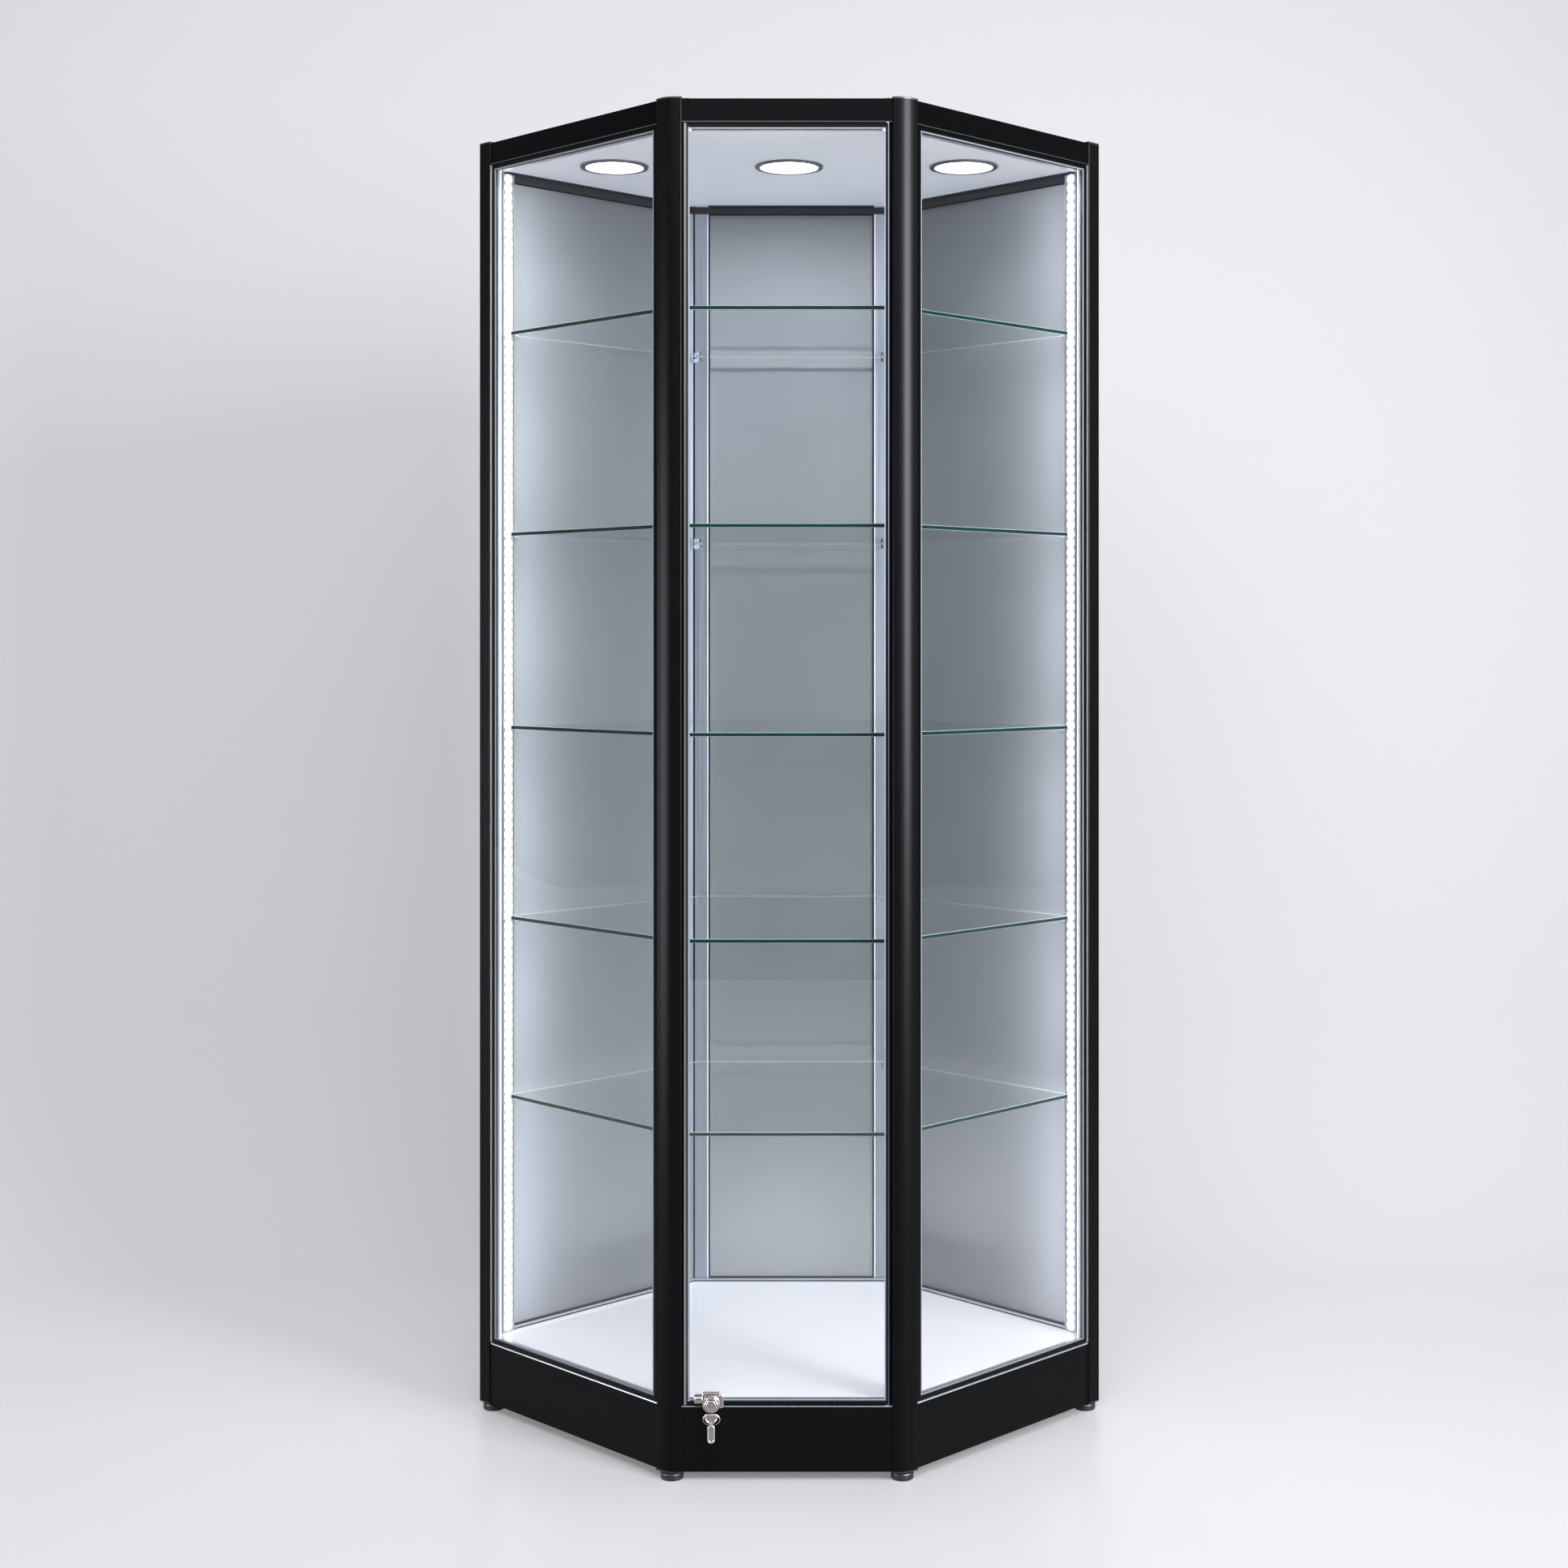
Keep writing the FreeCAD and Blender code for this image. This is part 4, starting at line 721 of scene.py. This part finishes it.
def area_lamp(name, location, target, size, power, beam=180, role="studio", pieces=None):
    """A lamp of the studio, of the cabinet itself, or one that only makes highlights."""
    data = bpy.data.lights.new(name, "AREA")
    data.spread = math.radians(beam)
    data.shape = "RECTANGLE"
    data.size, data.size_y = size
    data.energy = power
    data.color = linear(LAMP_COLOURS[role])[:3]
    lamp = bpy.data.objects.new(name, data)
    lamp.location = location
    lamp.rotation_euler = (Vector(target) - Vector(location)).to_track_quat("-Z", "Y").to_euler()
    lamp.visible_camera = False
    lamp.visible_diffuse = role != "highlight"
    lamp.visible_glossy = role != "cabinet"
    lamp.visible_transmission = False  # panes pass lamp light as shadow rays do
    bpy.context.scene.collection.objects.link(lamp)
    if pieces:
        lit_pieces = bpy.data.collections.new(f"lit_by_{name}")
        for piece in pieces:
            lit_pieces.objects.link(NODES[piece])
        lamp.light_linking.receiver_collection = lit_pieces


def make_lamps():
    """Studio lamps, strips that only make highlights, and the cabinet's own light."""
    mid_strip = 1.02  # half the height of the light strips
    downlight_pitch, downlight_y = 0.269, -0.033
    downlight_size = (0.08, 0.08)
    outside = [name for name in NODES
               if name.startswith(("post", "bottom_rail", "kick", "foot", "lock", "key"))]
    inside = [name for name in NODES
              if name.startswith(("post_", "top_rail", "bottom_rail", "back_panel", "shelf"))]
    area_lamp("key_softbox", (2.7, -2.6, 2.2), (0, 0, 1.15), (1.0, 1.8), 29, beam=100)
    area_lamp("fill_softbox", (-2.4, -2.6, 1.4), (0.3, 0.15, 1.2), (1.0, 1.6), 26,
              pieces=["back_panel_right"])
    area_lamp("highlight_strip", (2.5, -2.3, 1.9), (0.17, -0.31, 1.3), (2.2, 2.4), 780,
              role="highlight", pieces=outside)
    area_lamp("fill_strip", (-2.97, -1.4, 0.95), (-0.17, -0.31, 1.0), (2.4, 1.5), 190,
              role="highlight", pieces=outside)
    area_lamp("overhead_softbox", (-0.3, -2.9, 3.4), (-0.2, -1.2, 0), (3.0, 2.4), 72)
    for side, sign in (("left", -1), ("right", 1)):
        area_lamp(f"strip_glow_{side}", (sign * 0.4385, 0.0125, mid_strip),
                  (sign * 0.1, 0.30, mid_strip), (0.012, 1.8), 1.2, role="cabinet", pieces=inside)
        area_lamp(f"strip_wash_{side}", (sign * 0.372, -0.044, mid_strip),
                  (sign * 0.44, 0.024, mid_strip), (0.02, 1.8), 3.0, role="cabinet", pieces=inside)
    for step in (-1, 0, 1):
        x = step * downlight_pitch
        area_lamp(f"downlight_glow_{step + 1}", (x, downlight_y, 1.932), (x, downlight_y, 0),
                  downlight_size, 0.4, beam=112, role="cabinet")
    area_lamp("downlight_pool", (0, downlight_y, 1.93), (0, downlight_y, 0), downlight_size,
              5.0, role="cabinet", pieces=["back_panel"])
    area_lamp("downlight_deck", (0, 0.06, 0.9), (0, 0.06, 0), (0.7, 0.5), 8.5, role="cabinet",
              pieces=["deck_panel"])
    area_lamp("ceiling_bounce", (0, -0.2, 1.05), (0, -0.2, 2.0), (0.5, 0.3), 9.5,
              role="cabinet", pieces=["ceiling_panel"])
    area_lamp("deck_bounce_back", (0, -0.02, 0.13), (0, 0.3, 0.3), (0.3, 0.1), 1.7, role="cabinet",
              pieces=["back_panel"])
    area_lamp("deck_bounce_sides", (0, 0.0, 0.2), (0, 0.0, 1.0), (0.5, 0.35), 1.5,
              role="cabinet", pieces=["back_panel_left", "back_panel_right"])


def make_world():
    world = bpy.data.worlds.new("studio")
    world.use_nodes = True
    world.node_tree.nodes.clear()
    sky = add_node(world.node_tree, "ShaderNodeBackground",
                   {"Color": linear("#eceef2"), "Strength": 0.2})
    add_node(world.node_tree, "ShaderNodeOutputWorld", {"Surface": sky.outputs["Background"]})
    bpy.context.scene.world = world


def make_camera():
    data = bpy.data.cameras.new("camera")
    data.sensor_width = 36.0
    data.lens = 52.28
    data.shift_x = -0.0189
    data.shift_y = -0.092
    camera = bpy.data.objects.new("camera", data)
    camera.location = (0.038, -3.567, 1.2035)
    camera.rotation_euler = (math.pi / 2, 0, 0)
    bpy.context.scene.collection.objects.link(camera)
    bpy.context.scene.camera = camera


finish_nodes()
make_lens_row("left")
make_lens_row("right")
make_buffer("door_buffer_left", -1)
make_buffer("door_buffer_right", 1)
make_stage()
make_lamps()
make_world()
make_camera()
bpy.context.scene.view_settings.view_transform = "Standard"
